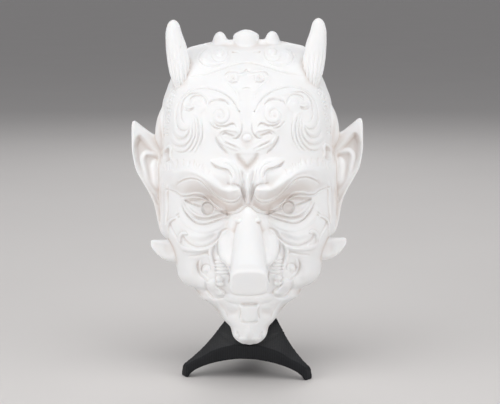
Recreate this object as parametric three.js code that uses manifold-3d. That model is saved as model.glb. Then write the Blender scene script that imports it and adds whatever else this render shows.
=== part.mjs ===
import * as THREE from 'three';
import { mergeVertices } from 'three/addons/utils/BufferGeometryUtils.js';
import Module from 'manifold-3d';

// A white printed demon mask with horns, pointed ears, cheek tusks and a long nose, and the
// black arched stand that it rests on. Millimetres and degrees. +Z is up, the face looks
// along -Y, and the origin is on the floor under the middle of the whole.

const wasm = await Module();
wasm.setup();

// How the mask sits on its stand.
const leanBack = 10;
const sidewaysTilt = -0.7;
const standTurn = -5;
const standShift = 0.8;
const chinAboveFloor = 17.45;

// The mask's shell, in the mask's own frame: x across, y from the face (negative) to the open
// back, z up from the chin. Each knot is a height and the value there.
const chinTip = -2;
const crownTop = 188.5;
const wall = 3;
const cavityFloor = 3.5;
const halfWidth = profile([
  [chinTip, 0], [-1.2, 6.5], [1, 9], [7, 11.4], [12.5, 14.5], [22, 23.8], [38, 44.5], [48, 48.5],
  [66, 55], [90, 54.5], [120, 54.5], [145, 54.5], [158, 50.5], [172, 44], [182.5, 37.5],
  [186.5, 26], [crownTop, 0],
]);
const frontDepth = profile([
  [chinTip, 36], [1, 40], [20, 47], [45, 54], [80, 53], [110, 57], [125, 56.5], [140, 52],
  [155, 44], [168, 32.5], [178, 21], [184, 12], [crownTop, 2],
]);
const rimDepth = profile([
  [chinTip, 36], [1, 33], [10, 28], [22, 18], [34, 8], [46, 1], [54, 0], [150, 0],
  [184, 0], [crownTop, 2],
]);
const roundness = profile([[chinTip, 1.7], [30, 2], [60, 2.4], [150, 2.4], [crownTop, 2.1]]);

// Soft masses under the carving, on both sides of the middle: brow, frown, cheekbone, muzzle,
// chin, forehead and temple.
const swells = [
  { across: 24, up: 98, reachAcross: 24, reachUp: 12, rise: 5 },
  { across: 7, up: 97, reachAcross: 10, reachUp: 12, rise: 2.5 },
  { across: 33, up: 60, reachAcross: 14, reachUp: 11, rise: 4 },
  { across: 9, up: 41, reachAcross: 18, reachUp: 13, rise: 2.5 },
  { across: 0, up: 7, reachAcross: 9, reachUp: 8, rise: 2 },
  { across: 18, up: 140, reachAcross: 16, reachUp: 15, rise: 2.5 },
  { across: 40, up: 127, reachAcross: 10, reachUp: 16, rise: 1.5 },
];

// The carving is laid out on a front drawing: it is seen from viewDistance in front of the
// plane in which the drawing is true size, along a line at the height of sightLine.
const viewDistance = 800;
const drawingDepth = 50;
const sightLine = 85.2;

const shellRows = 20;
const shellColumns = 16;
const strokeStep = 8;
const strokeSink = 1.8;

// Smooth curve through knots, each a place and the value there.
function profile(knots) {
  const places = knots.map(([place]) => place);
  const values = knots.map(([, value]) => value);
  const curve = new THREE.CubicInterpolant(places, values, 1, new Float64Array(1));
  return (place) => curve.evaluate(place)[0];
}

function swellAt(x, z) {
  let rise = 0;
  for (const swell of swells) {
    const across = (Math.abs(x) - swell.across) / swell.reachAcross;
    const up = (z - swell.up) / swell.reachUp;
    rise += swell.rise * Math.exp(-1.6 * (across * across + up * up));
  }
  return rise;
}

// Depth of the face in front of the open back, for a share of the half width at one height.
function depthAt(share, z) {
  const power = roundness(z);
  const dome = (1 - share ** power) ** (1 / power);
  const fade = 1 - share ** 8;
  return THREE.MathUtils.lerp(rimDepth(z), frontDepth(z), dome) + fade * swellAt(share * halfWidth(z), z);
}

function faceDepth(x, z) {
  return depthAt(Math.min(Math.abs(x) / halfWidth(z), 0.975), z);
}

// The point of the face that the front drawing shows at this place, and its outward normal.
function placeOnFace(across, up) {
  const point = new THREE.Vector3();
  let depth = drawingDepth;
  for (let pass = 0; pass < 4; pass += 1) {
    const shrink = (viewDistance + drawingDepth - depth) / viewDistance;
    point.set(across * shrink, -depth, sightLine + (up - sightLine) * shrink);
    depth = faceDepth(point.x, point.z);
  }
  point.y = -depth;
  const reach = 0.5;
  const gainAcross = faceDepth(point.x + reach, point.z) - faceDepth(point.x - reach, point.z);
  const gainUp = faceDepth(point.x, point.z + reach) - faceDepth(point.x, point.z - reach);
  const normal = new THREE.Vector3(-gainAcross, -2 * reach, -gainUp).normalize();
  return { point, normal };
}

// A closed body through rings of equal counts, closed by a fan at each end.
function loft(rings) {
  const count = rings[0].length;
  const last = (rings.length - 1) * count;
  const triangles = [];
  for (let start = 0; start < last; start += count) {
    for (let corner = 0; corner < count; corner += 1) {
      const here = start + corner;
      const next = start + ((corner + 1) % count);
      triangles.push(here, next, next + count, here, next + count, here + count);
    }
  }
  for (let corner = 1; corner + 1 < count; corner += 1) {
    triangles.push(0, corner + 1, corner, last, last + corner, last + corner + 1);
  }
  const geometry = new THREE.BufferGeometry();
  const places = rings.flat().flatMap((point) => point.toArray());
  geometry.setAttribute('position', new THREE.Float32BufferAttribute(places, 3));
  geometry.setIndex(triangles);
  return geometry;
}

// Turns a closed geometry into a solid, without doubled points, facing outwards.
function solidOf(source) {
  const geometry = source.clone();
  geometry.deleteAttribute('normal');
  geometry.deleteAttribute('uv');
  const merged = mergeVertices(geometry, 1e-3);
  const places = merged.getAttribute('position').array;
  const triangles = [];
  let volume = 0;
  const corners = [new THREE.Vector3(), new THREE.Vector3(), new THREE.Vector3()];
  for (let start = 0; start < merged.index.count; start += 3) {
    const [a, b, c] = merged.index.array.slice(start, start + 3);
    if (a === b || b === c || c === a) {
      continue;
    }
    triangles.push([a, b, c]);
    [a, b, c].forEach((vertex, place) => corners[place].fromArray(places, vertex * 3));
    volume += corners[0].dot(corners[1].cross(corners[2]));
  }
  const outward = volume > 0 ? triangles : triangles.map(([a, b, c]) => [a, c, b]);
  return new wasm.Manifold(new wasm.Mesh({
    numProp: 3,
    vertProperties: new Float32Array(places),
    triVerts: new Uint32Array(outward.flat()),
  }));
}

// Triangles of the outer skin alone: where lines of carving cross, they can shut in a small
// pocket, and leaving out its skin fills it.
function outerSkin(triVerts) {
  const parents = new Map();
  const rootOf = (vertex) => {
    let root = vertex;
    while (parents.has(root)) {
      root = parents.get(root);
    }
    return root;
  };
  const join = (a, b) => {
    const [rootA, rootB] = [rootOf(a), rootOf(b)];
    if (rootA !== rootB) {
      parents.set(Math.max(rootA, rootB), Math.min(rootA, rootB));
    }
  };
  for (let start = 0; start < triVerts.length; start += 3) {
    join(triVerts[start], triVerts[start + 1]);
    join(triVerts[start], triVerts[start + 2]);
  }
  const skins = new Map();
  for (let start = 0; start < triVerts.length; start += 3) {
    const root = rootOf(triVerts[start]);
    skins.set(root, [...(skins.get(root) ?? []), ...triVerts.slice(start, start + 3)]);
  }
  return [...skins.values()].sort((a, b) => b.length - a.length)[0];
}

function geometryOf({ vertProperties, triVerts }) {
  const geometry = new THREE.BufferGeometry();
  geometry.setAttribute('position', new THREE.BufferAttribute(new Float32Array(vertProperties), 3));
  geometry.setIndex(Array.from(triVerts));
  return geometry;
}

function meshOf(solid, name, material) {
  const { vertProperties, triVerts } = solidOf(geometryOf(solid.getMesh())).getMesh();
  const geometry = geometryOf({ vertProperties, triVerts: outerSkin(triVerts) });
  geometry.computeVertexNormals();
  const mesh = new THREE.Mesh(geometry, material);
  mesh.name = name;
  return mesh;
}

// One level of the shell, from rim to rim over the front. It starts and ends on the open back.
function shellRow(z, half, front, back, withSwells) {
  const row = [];
  for (let column = 0; column <= shellColumns; column += 1) {
    const angle = (column / shellColumns - 0.5) * Math.PI;
    const power = roundness(z);
    const share = Math.abs(Math.sin(angle)) ** (2 / power);
    const dome = Math.abs(Math.cos(angle)) ** (2 / power);
    const swell = withSwells ? (1 - share ** 8) * swellAt(share * half, z) : 0;
    const depth = THREE.MathUtils.lerp(back, front, dome) + swell;
    row.push(new THREE.Vector3(Math.sign(angle) * share * half, -depth, z));
  }
  return row;
}

function rowHeight(row, low, high) {
  const even = row / shellRows;
  const crowded = (1 - Math.cos(Math.PI * even)) / 2;
  return THREE.MathUtils.lerp(low, high, (even + crowded) / 2);
}

function shellOutside() {
  const rows = [];
  for (let row = 0; row <= shellRows; row += 1) {
    const z = rowHeight(row, chinTip, crownTop);
    rows.push(shellRow(z, halfWidth(z), frontDepth(z), rimDepth(z), true));
  }
  return solidOf(loft(rows));
}

// The hollow keeps the wall's thickness inside the shell and runs out through the open back.
function shellHollow() {
  const rows = [];
  const beyondBack = 8;
  for (let row = 0; row <= shellRows; row += 2) {
    const z = rowHeight(row, cavityFloor, crownTop - wall);
    const half = Math.max(halfWidth(z) - wall, 0.5);
    rows.push(shellRow(z, half, Math.max(frontDepth(z) - wall, -beyondBack + 0.5), -beyondBack, false));
  }
  return solidOf(loft(rows));
}

// A raised line of carving that follows the face. Its section is a keel, or a rounded roll.
function ridge(points, side, { width, rise, rolled = false }) {
  const curve = new THREE.SplineCurve(points.map(([across, up]) => new THREE.Vector2(across * side, up)));
  const steps = Math.max(3, Math.round(curve.getLength() / strokeStep));
  const placed = curve.getSpacedPoints(steps).map((spot) => placeOnFace(spot.x, spot.y));
  const keel = [[-1, 0], [0, 1], [1, 0]];
  const roll = [[-1, 0], [-0.62, 0.62], [0, 1], [0.62, 0.62], [1, 0]];
  const section = rolled ? roll : keel;
  const rings = placed.map(({ point, normal }, place) => {
    const before = placed[Math.max(place - 1, 0)].point;
    const after = placed[Math.min(place + 1, steps)].point;
    const sideways = new THREE.Vector3().subVectors(after, before).cross(normal).normalize();
    const size = 0.3 + 0.7 * Math.abs(Math.sin((Math.PI * place) / steps)) ** 0.7;
    return section.map(([out, lift]) => point.clone()
      .addScaledVector(sideways, (out * width * size) / 2)
      .addScaledVector(normal, lift > 0 ? lift * rise * size : -strokeSink));
  });
  return solidOf(loft(rings));
}

// A raised oval on the face.
function boss(across, up, radiusAcross, radiusUp, rise) {
  const { point, normal } = placeOnFace(across, up);
  const oval = new THREE.SphereGeometry(1, 7, 4).scale(radiusAcross, rise, radiusUp);
  oval.applyQuaternion(new THREE.Quaternion().setFromUnitVectors(new THREE.Vector3(0, -1, 0), normal));
  return solidOf(oval.translate(point.x, point.y, point.z));
}

function ball(x, y, z, radiusX, radiusY, radiusZ) {
  return solidOf(new THREE.SphereGeometry(1, 10, 6).scale(radiusX, radiusY, radiusZ).translate(x, y, z));
}

// Points of a spiral on the drawing, from the outer radius to the inner one.
function spiral(across, up, outer, inner, turns, startAngle) {
  const points = [];
  const count = Math.ceil(turns * 6);
  for (let step = 0; step <= count; step += 1) {
    const angle = THREE.MathUtils.degToRad(startAngle + (360 * turns * step) / count);
    const radius = THREE.MathUtils.lerp(outer, inner, step / count);
    points.push([across + radius * Math.cos(angle), up + radius * Math.sin(angle)]);
  }
  return points;
}

// Points of a hanging arc on the drawing, open upwards.
function hangingArc(across, up, radiusAcross, radiusUp) {
  return [-90, -45, 0, 45, 90].map((degrees) => {
    const angle = THREE.MathUtils.degToRad(degrees);
    return [across + radiusAcross * Math.sin(angle), up - radiusUp * Math.cos(angle)];
  });
}

// Raised lines of the carving, right of the middle and mirrored to the left.
const carvedLines = {
  scrollBand: {
    width: 3.4, rise: 1.5,
    points: [[5.5, 139], [16, 149.5], [31, 151], [40, 140.5], [37.5, 129]],
  },
  hookBeak: { width: 2.4, rise: 1.3, points: [[34, 147], [37, 144], [32, 141.5]] },
  scrollEye: { width: 2.4, rise: 1.4, points: spiral(16.5, 137.5, 5.6, 1.2, 1.8, 180) },
  stem: { width: 2.6, rise: 1.4, points: [[18, 126], [14.5, 128.5], [10, 128.5], [4, 133], [4.5, 139]] },
  innerHook: { width: 2.4, rise: 1.3, points: [[3.5, 128], [5.5, 124.5], [9.5, 123], [13.5, 125]] },
  calyx: { width: 3, rise: 1.6, points: [[18, 126], [15.5, 120.5], [10.5, 116], [5, 112], [0.8, 105]] },
  templeTail: { width: 2.4, rise: 1.4, points: [[33.5, 138.5], [28.5, 134], [29.5, 123], [34.5, 116.5]] },
  templeInner: { width: 2.6, rise: 1.5, points: hangingArc(39.5, 134.5, 4.5, 4.8) },
  templeMiddle: { width: 2.8, rise: 1.5, points: hangingArc(39.5, 134.5, 8.2, 8.8) },
  templeOuter: { width: 2.8, rise: 1.5, points: hangingArc(40, 134.5, 11.6, 13.5) },
  crestBand: { width: 2.4, rise: 1.2, points: [[33, 161], [24.5, 162], [14.5, 165.5], [0.5, 169]] },
  crownArc: { width: 2.4, rise: 1.2, points: [[28.5, 170], [25.5, 175], [19.5, 178.5], [12, 178.5]] },
  smallBrow: { width: 1.8, rise: 1, points: [[13, 161.5], [8.5, 164], [3.5, 163], [0.3, 164.5]] },
  brow: {
    width: 9.5, rise: 3.4, rolled: true,
    points: [[50, 106], [44, 108], [35.5, 109], [28, 107], [21, 102], [15, 95.5], [10.5, 91], [5.5, 89]],
  },
  browLip: {
    width: 3.4, rise: 2.6,
    points: [[44.5, 98.5], [36, 102.5], [27.5, 100], [15.5, 89.5], [6, 88]],
  },
  upperLid: {
    width: 6, rise: 1.8, rolled: true,
    points: [[41, 94], [33, 96], [22, 89], [14, 82.5], [7, 81.5]],
  },
  frownLeaf: { width: 2.8, rise: 1.8, points: [[21, 110.5], [14, 110], [9, 107.5], [7.5, 96]] },
  lidEdge: { width: 2.2, rise: 1.6, points: [[38.5, 86.5], [31, 88], [24, 86.5], [12, 79]] },
  lowerLid: { width: 2.2, rise: 1.6, points: [[37.5, 85], [34, 79], [24, 75.5], [12, 79]] },
  eyeBag: { width: 2.6, rise: 1.6, points: [[40, 84.5], [36, 76], [26, 71.5], [12.5, 77]] },
  cheekCurl: { width: 3.2, rise: 2, points: [[36.5, 66], [40.5, 65.5], [40, 60], [30, 57], [18, 62.5]] },
  outerCurl: { width: 2.4, rise: 1.6, points: [[44, 76], [48, 72], [47.5, 67], [43, 63.5]] },
  cheekScroll: { width: 2.2, rise: 1.5, points: spiral(25.5, 46, 4.2, 1, 1.2, 150) },
  creaseBand: { width: 4.4, rise: 2, rolled: true, points: [[24.5, 57.5], [20.5, 51.5], [18, 42]] },
  cheekLeaf: { width: 2.6, rise: 1.6, points: [[31, 51], [29, 43], [24, 38.5]] },
  lip: { width: 3.2, rise: 2.2, points: [[17, 31], [9, 27.5], [0.2, 26]] },
};

// Raised ovals of the carving: place across and up, half sizes across and up, and rise.
const carvedOvals = {
  hookHeart: [29.5, 144.5, 4, 4, 1.6],
  crownStud: [16, 174.5, 3.6, 3.2, 1.6],
  smallEye: [8, 159.5, 2.2, 1.8, 1.2],
  browKnob: [10.5, 94.5, 4.2, 3, 3],
  eyeball: [25, 81, 11, 5.2, 2.4],
  iris: [24.5, 81.6, 3.6, 3.6, 3.2],
  nostrilWing: [13.6, 60.5, 5, 8.5, 6],
  pearl: [17, 39, 2, 2.4, 2.4],
  cheekFang: [20.5, 34, 4.2, 5, 3],
};

// Lobes of the jaw's edge, from the ear down to the chin.
const jawLobes = [[37, 41, 5], [28, 32, 4.8], [20, 24, 4.4], [9.5, 5, 3.2]];

// Curls of hair down the side of the head, in front of and above the ear.
const sideCurls = [[48.5, 149, 4.6], [50.2, 139.5, 5], [50.2, 129.5, 5], [49.5, 119, 4.6]];

// A fluted horn: its centre line leans out a little, and its flutes run out half way up.
function horn(side) {
  const rootZ = 152;
  const tipZ = 197.3;
  const centre = profile([[rootZ, 40.5], [161, 42], [173, 43.2], [184, 44.6], [192, 45.8], [tipZ, 45.4]]);
  const radius = profile([
    [rootZ, 4.2], [161, 5.4], [173, 6.6], [181, 6.6], [188, 5.2], [194, 3.8], [tipZ, 0.9],
  ]);
  const depth = profile([[rootZ, 25], [161, 25.5], [175, 24], [tipZ, 26]]);
  const fluteDepth = profile([[rootZ, 0.16], [168, 0.12], [180, 0], [tipZ, 0]]);
  const rings = [rootZ, 159, 167, 175, 183, 190, 195, tipZ].map((z) => {
    const ring = [];
    for (let flute = 0; flute < 14; flute += 1) {
      const angle = (flute / 14) * 2 * Math.PI;
      const reach = radius(z) * (1 - (flute % 2) * fluteDepth(z));
      ring.push(new THREE.Vector3(
        side * (centre(z) + reach * Math.cos(angle)),
        -depth(z) + reach * Math.sin(angle),
        z,
      ));
    }
    return ring;
  });
  return solidOf(loft(rings));
}

// The ear's outline from the tip round to the notch above the temple, in the plane of the rim.
const earOutline = [
  [71.3, 137.9], [73.2, 134], [73.2, 118], [70.5, 106.5], [63.5, 94], [57.5, 82.5], [55, 75],
  [49, 78], [49, 127], [58.9, 128.7],
];
const earHeart = new THREE.Vector2(62.5, 112);

function earRing(side, scale, depth) {
  return earOutline.map(([across, up]) => new THREE.Vector3(
    side * (earHeart.x + (across - earHeart.x) * scale),
    -depth,
    earHeart.y + (up - earHeart.y) * scale,
  ));
}

function ear(side) {
  const leaf = solidOf(loft([earRing(side, 0.93, 0.6), earRing(side, 1, 4), earRing(side, 0.95, 10)]));
  const scoop = solidOf(loft([earRing(side, 0.4, 4.5), earRing(side, 0.76, 8), earRing(side, 0.86, 11)]));
  const lobe = ball(side * 59.5, -6.5, 105.5, 4.6, 3.6, 10);
  return leaf.subtract(scoop).add(lobe);
}

// An ellipse across the body's x axis.
function uprightRing(x, y, z, radiusY, radiusZ, sides) {
  const ring = [];
  for (let corner = 0; corner < sides; corner += 1) {
    const angle = (corner / sides) * 2 * Math.PI;
    ring.push(new THREE.Vector3(x, y + radiusY * Math.cos(angle), z + radiusZ * Math.sin(angle)));
  }
  return ring;
}

// A short tusk that leaves the cheek sideways and turns up at its tip.
function tusk(side) {
  const stations = [
    [38, -31, 54, 5, 6.5], [46, -28, 54.4, 5, 6.8], [51.5, -24.5, 55, 4.2, 6.2],
    [56.5, -21, 56.2, 3, 4.6], [59.4, -19, 57.8, 1.6, 2.6],
  ];
  return solidOf(loft(stations.map(([x, y, z, radiusY, radiusZ]) => (
    uprightRing(side * x, y, z, radiusY, radiusZ, 10)))));
}

// The long nose: a squarish tube that leaves the brow, runs down and forward, and ends flat.
function nose() {
  const bridge = new THREE.CatmullRomCurve3([
    new THREE.Vector3(0, -46, 86),
    new THREE.Vector3(0, -60, 71),
    new THREE.Vector3(0, -77, 55),
    new THREE.Vector3(0, -94, 40.5),
  ]);
  const halfAcross = profile([[0, 3.4], [0.25, 6], [0.5, 8], [0.75, 10], [0.94, 10.6], [1, 8.8]]);
  const halfThick = profile([[0, 5], [0.25, 8], [0.5, 9.5], [0.75, 9.6], [0.94, 9.4], [1, 7.6]]);
  const across = new THREE.Vector3(1, 0, 0);
  const squareness = 2.7;
  const rings = [0, 0.15, 0.3, 0.45, 0.6, 0.78, 0.94, 1].map((share) => {
    const middle = bridge.getPoint(share);
    const upward = new THREE.Vector3().crossVectors(across, bridge.getTangent(share));
    const ring = [];
    for (let corner = 0; corner < 16; corner += 1) {
      const angle = (corner / 16) * 2 * Math.PI;
      const out = Math.sign(Math.cos(angle)) * Math.abs(Math.cos(angle)) ** (2 / squareness);
      const lift = Math.sign(Math.sin(angle)) * Math.abs(Math.sin(angle)) ** (2 / squareness);
      ring.push(middle.clone()
        .addScaledVector(across, out * halfAcross(share))
        .addScaledVector(upward, lift * halfThick(share)));
    }
    return ring;
  });
  return solidOf(loft(rings));
}

function maskSolid() {
  let outside = shellOutside().add(nose());
  for (const side of [-1, 1]) {
    const pieces = [horn(side), ear(side), tusk(side)];
    for (const line of Object.values(carvedLines)) {
      pieces.push(ridge(line.points, side, line));
    }
    for (const [across, up, radiusAcross, radiusUp, rise] of Object.values(carvedOvals)) {
      pieces.push(boss(side * across, up, radiusAcross, radiusUp, rise));
    }
    for (const [across, up, radius] of jawLobes) {
      pieces.push(boss(side * across, up, radius, radius, 2));
    }
    for (const [across, up, radius] of sideCurls) {
      pieces.push(boss(side * across, up, radius, radius, 1.8));
    }
    pieces.push(ball(side * 16.6, -9, 188, 4, 4, 4.6));
    for (const piece of pieces) {
      outside = outside.add(piece);
    }
  }
  const middlePieces = [
    boss(0, 123.5, 2.8, 2.6, 2),
    ball(0, -9, 186, 8, 7, 8.2),
    boss(0, 19.5, 5, 6, 4),
    boss(0, 6, 5.5, 6.5, 2.5),
    ridge([[0, 106], [0, 96], [0, 84]], 1, { width: 3, rise: 2.2 }),
  ];
  for (const piece of middlePieces) {
    outside = outside.add(piece);
  }
  return outside.subtract(shellHollow());
}

// The stand flares from a post into two front feet and a narrow rear foot. Each level holds its
// height, the front ridge's half width and y, the flank's half width and y, the inner corner
// beside the rear leg, and the rear leg's half width and y.
const standLevels = [
  [0, 37, -36, 40.7, -31, 11, -16, 8, 30],
  [6.4, 37, -36, 39.8, -31, 11, -15, 7.5, 29],
  [10.2, 33, -36, 34.8, -26, 11, -12, 7.5, 26],
  [13.6, 26.5, -36, 30, -19, 11.5, -7, 7.5, 22],
  [17.8, 19.5, -36, 25.2, -11, 12, -2, 7.5, 18],
  [20, 13, -36, 23, -7, 12, 1, 7.5, 16.5],
  [21.4, 7.5, -36, 21.8, -4.5, 12, 3, 7.5, 15.5],
  [22.4, 7, -23, 21, -3, 12, 4.5, 7.5, 15],
  [26.5, 7, -7, 17.4, 4, 12, 8, 7.5, 13],
  [32, 7, -3, 14, 5.5, 11, 9, 7, 11.5],
  [42, 6.5, -4, 11, 1.5, 9.5, 6, 6, 8.5],
  [60, 6.5, -11, 9.5, -7, 9, -2.5, 6, -0.5],
  [90, 6, -22, 8.5, -18.5, 8, -14.5, 5.5, -12.5],
  [113, 6, -31, 8, -28, 7.5, -23.5, 5, -22],
  [120, 5, -33, 6.5, -31, 6, -27, 4, -26],
];
const frontArch = { halfSpan: 35.5, rise: 12.6, front: -50, back: -18, squareness: 1.7 };
const sideArch = { halfSpan: 23, middle: -4, rise: 12, front: -60, back: 60, squareness: 2 };

// An arched tunnel along y, open below, between its front and its back.
function archTunnel({ halfSpan, rise, squareness, front, back }) {
  const outline = [new THREE.Vector2(halfSpan, -rise)];
  const steps = 14;
  for (let step = 0; step <= steps; step += 1) {
    const angle = (Math.PI * step) / steps;
    const out = Math.sign(Math.cos(angle)) * Math.abs(Math.cos(angle)) ** (2 / squareness);
    outline.push(new THREE.Vector2(halfSpan * out, rise * Math.sin(angle) ** (2 / squareness)));
  }
  outline.push(new THREE.Vector2(-halfSpan, -rise));
  const rings = [front, back].map((y) => outline.map((spot) => new THREE.Vector3(spot.x, y, spot.y)));
  return loft(rings);
}

function standSolid() {
  const rings = standLevels.map(([z, ...corners]) => {
    const right = [0, 2, 4, 6].map((start) => new THREE.Vector3(corners[start], corners[start + 1], z));
    const left = right.map((corner) => new THREE.Vector3(-corner.x, corner.y, z)).reverse();
    return [...right, ...left];
  });
  const body = solidOf(loft(rings));
  const frontTunnel = solidOf(archTunnel(frontArch));
  const sideTunnel = solidOf(archTunnel(sideArch).rotateZ(Math.PI / 2).translate(0, sideArch.middle, 0));
  return body.subtract(frontTunnel).subtract(sideTunnel);
}

const white = new THREE.MeshStandardMaterial({ color: 0xf4f4f5, roughness: 0.62, metalness: 0 });
const black = new THREE.MeshStandardMaterial({ color: 0x26272a, roughness: 0.8, metalness: 0 });

const mask = meshOf(maskSolid(), 'mask', white);
const leaning = new THREE.Group();
leaning.rotation.set(
  THREE.MathUtils.degToRad(-leanBack),
  THREE.MathUtils.degToRad(sidewaysTilt),
  0,
);
leaning.position.set(0, 0, chinAboveFloor);
leaning.add(mask);

const stand = meshOf(standSolid(), 'stand', black);
const turned = new THREE.Group();
turned.rotation.z = THREE.MathUtils.degToRad(standTurn);
turned.position.x = standShift;
turned.add(stand);

const maskOnStand = new THREE.Group();
maskOnStand.add(leaning, turned);

// The origin lies on the floor under the middle of the whole.
maskOnStand.updateMatrixWorld(true);
const extent = new THREE.Box3().setFromObject(maskOnStand, true);
const middle = extent.getCenter(new THREE.Vector3());
maskOnStand.position.set(-middle.x, -middle.y, -extent.min.z);

export default maskOnStand;
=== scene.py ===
import math

import bmesh
import bpy
import numpy as np
from mathutils import Matrix, Vector


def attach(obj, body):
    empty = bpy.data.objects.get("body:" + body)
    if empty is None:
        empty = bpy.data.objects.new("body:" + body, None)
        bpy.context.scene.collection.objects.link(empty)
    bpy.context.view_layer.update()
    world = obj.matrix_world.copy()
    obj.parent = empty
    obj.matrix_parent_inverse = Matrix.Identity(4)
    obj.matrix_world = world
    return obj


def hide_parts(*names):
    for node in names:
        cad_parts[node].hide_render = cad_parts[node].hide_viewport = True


# A white printed demon mask on a black arched stand. Each piece is shaped in millimetres in its
# own frame, x across, y from the face (negative) to the back, z up, and then set into the CAD frame.

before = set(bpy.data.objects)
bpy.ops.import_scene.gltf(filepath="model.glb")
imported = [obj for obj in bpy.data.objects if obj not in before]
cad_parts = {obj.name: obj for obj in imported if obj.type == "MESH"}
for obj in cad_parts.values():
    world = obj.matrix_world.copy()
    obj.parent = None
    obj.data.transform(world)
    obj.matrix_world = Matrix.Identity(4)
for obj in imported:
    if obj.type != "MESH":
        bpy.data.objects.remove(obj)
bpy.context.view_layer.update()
toMetres = 0.001
print("frame loaded")

pose = {
    "leanBack": 10,  # degrees, mask only
    "sidewaysTilt": -0.7,
    "standTurn": -5,
    "standShift": 0.8,  # mm
    "floorToChin": 17.45,
    "middleToCentre": (1.54, 28.67),
}


def turn(axis, degrees):
    return np.array(Matrix.Rotation(math.radians(degrees), 3, axis))


def seatMask(points):
    lean = turn("X", -pose["leanBack"]) @ turn("Y", pose["sidewaysTilt"])
    return points @ lean.T + [*pose["middleToCentre"], pose["floorToChin"]]


def seatStand(points):
    shift = [pose["middleToCentre"][0] + pose["standShift"], pose["middleToCentre"][1], 0]
    return points @ turn("Z", pose["standTurn"]).T + shift


# Plain mesh tools

def meshObject(name, points, faces):
    mesh = bpy.data.meshes.new(name)
    mesh.from_pydata([tuple(p) for p in points], [], faces)
    mesh.update()
    obj = bpy.data.objects.new(name, mesh)
    bpy.context.scene.collection.objects.link(obj)
    return obj


def pointsOf(mesh):
    flat = np.empty(len(mesh.vertices) * 3, np.float32)
    mesh.vertices.foreach_get("co", flat)
    return flat.reshape(-1, 3).astype(float)


def setPoints(mesh, points):
    mesh.vertices.foreach_set("co", np.asarray(points, np.float32).ravel())
    mesh.update()


def normalsOf(mesh):
    flat = np.empty(len(mesh.vertices) * 3, np.float32)
    mesh.vertices.foreach_get("normal", flat)
    return flat.reshape(-1, 3).astype(float)


def lasting(obj):  # bakes the modifiers into a plain mesh
    bpy.context.view_layer.update()
    seen = obj.evaluated_get(bpy.context.evaluated_depsgraph_get())
    mesh = bpy.data.meshes.new_from_object(seen)
    obj.modifiers.clear()
    old = obj.data
    obj.data = mesh
    if old.users == 0:
        bpy.data.meshes.remove(old)
    return obj


def withModifier(obj, kind, **settings):
    modifier = obj.modifiers.new(kind.title(), kind)
    for key, value in settings.items():
        setattr(modifier, key, value)
    return lasting(obj)


def joined(name, objects):
    gather = bmesh.new()
    for obj in objects:
        gather.from_mesh(obj.data)
    mesh = bpy.data.meshes.new(name)
    gather.to_mesh(mesh)
    gather.free()
    for obj in objects:
        bpy.data.objects.remove(obj)
    whole = bpy.data.objects.new(name, mesh)
    bpy.context.scene.collection.objects.link(whole)
    return whole


def carve(obj, cutter):
    withModifier(obj, "BOOLEAN", operation="DIFFERENCE", solver="MANIFOLD", object=cutter)
    bpy.data.objects.remove(cutter)
    return obj


def triangleCount(mesh):
    return sum(len(p.vertices) - 2 for p in mesh.polygons)


def thinOut(obj, target):
    count = triangleCount(obj.data)
    if count > target:
        withModifier(obj, "DECIMATE", decimate_type="COLLAPSE", ratio=target / count)
    return obj


def relax(mesh, passes, strength=0.5, share=1.0):
    points = pointsOf(mesh)
    ends = np.empty(len(mesh.edges) * 2, np.int32)
    mesh.edges.foreach_get("vertices", ends)
    a, b = ends.reshape(-1, 2).T
    count = len(points)
    around = np.bincount(a, minlength=count) + np.bincount(b, minlength=count)
    for _ in range(passes):
        total = np.empty_like(points)
        for axis in range(3):
            total[:, axis] = (np.bincount(a, points[b, axis], count)
                              + np.bincount(b, points[a, axis], count))
        points += strength * share * (total / around[:, None] - points)
    setPoints(mesh, points)


def loft(name, rings):  # rings of equal counts, with a fan at each end
    rings = np.asarray(rings, float)
    rows, count = rings.shape[:2]
    near = np.arange(count)
    far = np.roll(near, -1)
    faces = []
    for row in range(rows - 1):
        low, high = row * count, (row + 1) * count
        faces += zip(*[corner.tolist() for corner in (low + near, low + far, high + far, high + near)])
    start, end = rows * count, rows * count + 1
    last = (rows - 1) * count
    faces += zip(far.tolist(), near.tolist(), [start] * count)
    faces += zip((last + near).tolist(), (last + far).tolist(), [end] * count)
    points = np.vstack([rings.reshape(-1, 3), rings[0].mean(0), rings[-1].mean(0)])
    obj = meshObject(name, points, faces)
    weld = bmesh.new()
    weld.from_mesh(obj.data)
    bmesh.ops.remove_doubles(weld, verts=weld.verts, dist=1e-4)
    bmesh.ops.recalc_face_normals(weld, faces=weld.faces)
    weld.to_mesh(obj.data)
    weld.free()
    return obj


def profile(*knots):  # smooth curve through knots (place, value) that never overshoots
    place, value = np.array(knots, float).T
    step = np.diff(place)
    slope = np.diff(value) / step
    before, after = slope[:-1], slope[1:]
    same = before * after > 0
    weighted = 3 * (step[:-1] + step[1:])
    total = (2 * step[1:] + step[:-1]) / np.where(same, before, 1)
    total += (step[1:] + 2 * step[:-1]) / np.where(same, after, 1)
    inner = np.where(same, weighted / np.where(same, total, 1), 0)
    tangent = np.concatenate([slope[:1], inner, slope[-1:]])

    def at(where):
        where = np.clip(np.asarray(where, float), place[0], place[-1])
        index = np.clip(np.searchsorted(place, where, side="right") - 1, 0, len(step) - 1)
        t = (where - place[index]) / step[index]
        rise = value[index + 1] - value[index]
        startPull, endPull = tangent[index] * step[index], tangent[index + 1] * step[index]
        return (value[index] + t * startPull + t ** 2 * (3 * rise - 2 * startPull - endPull)
                + t ** 3 * (startPull + endPull - 2 * rise))
    return at


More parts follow.
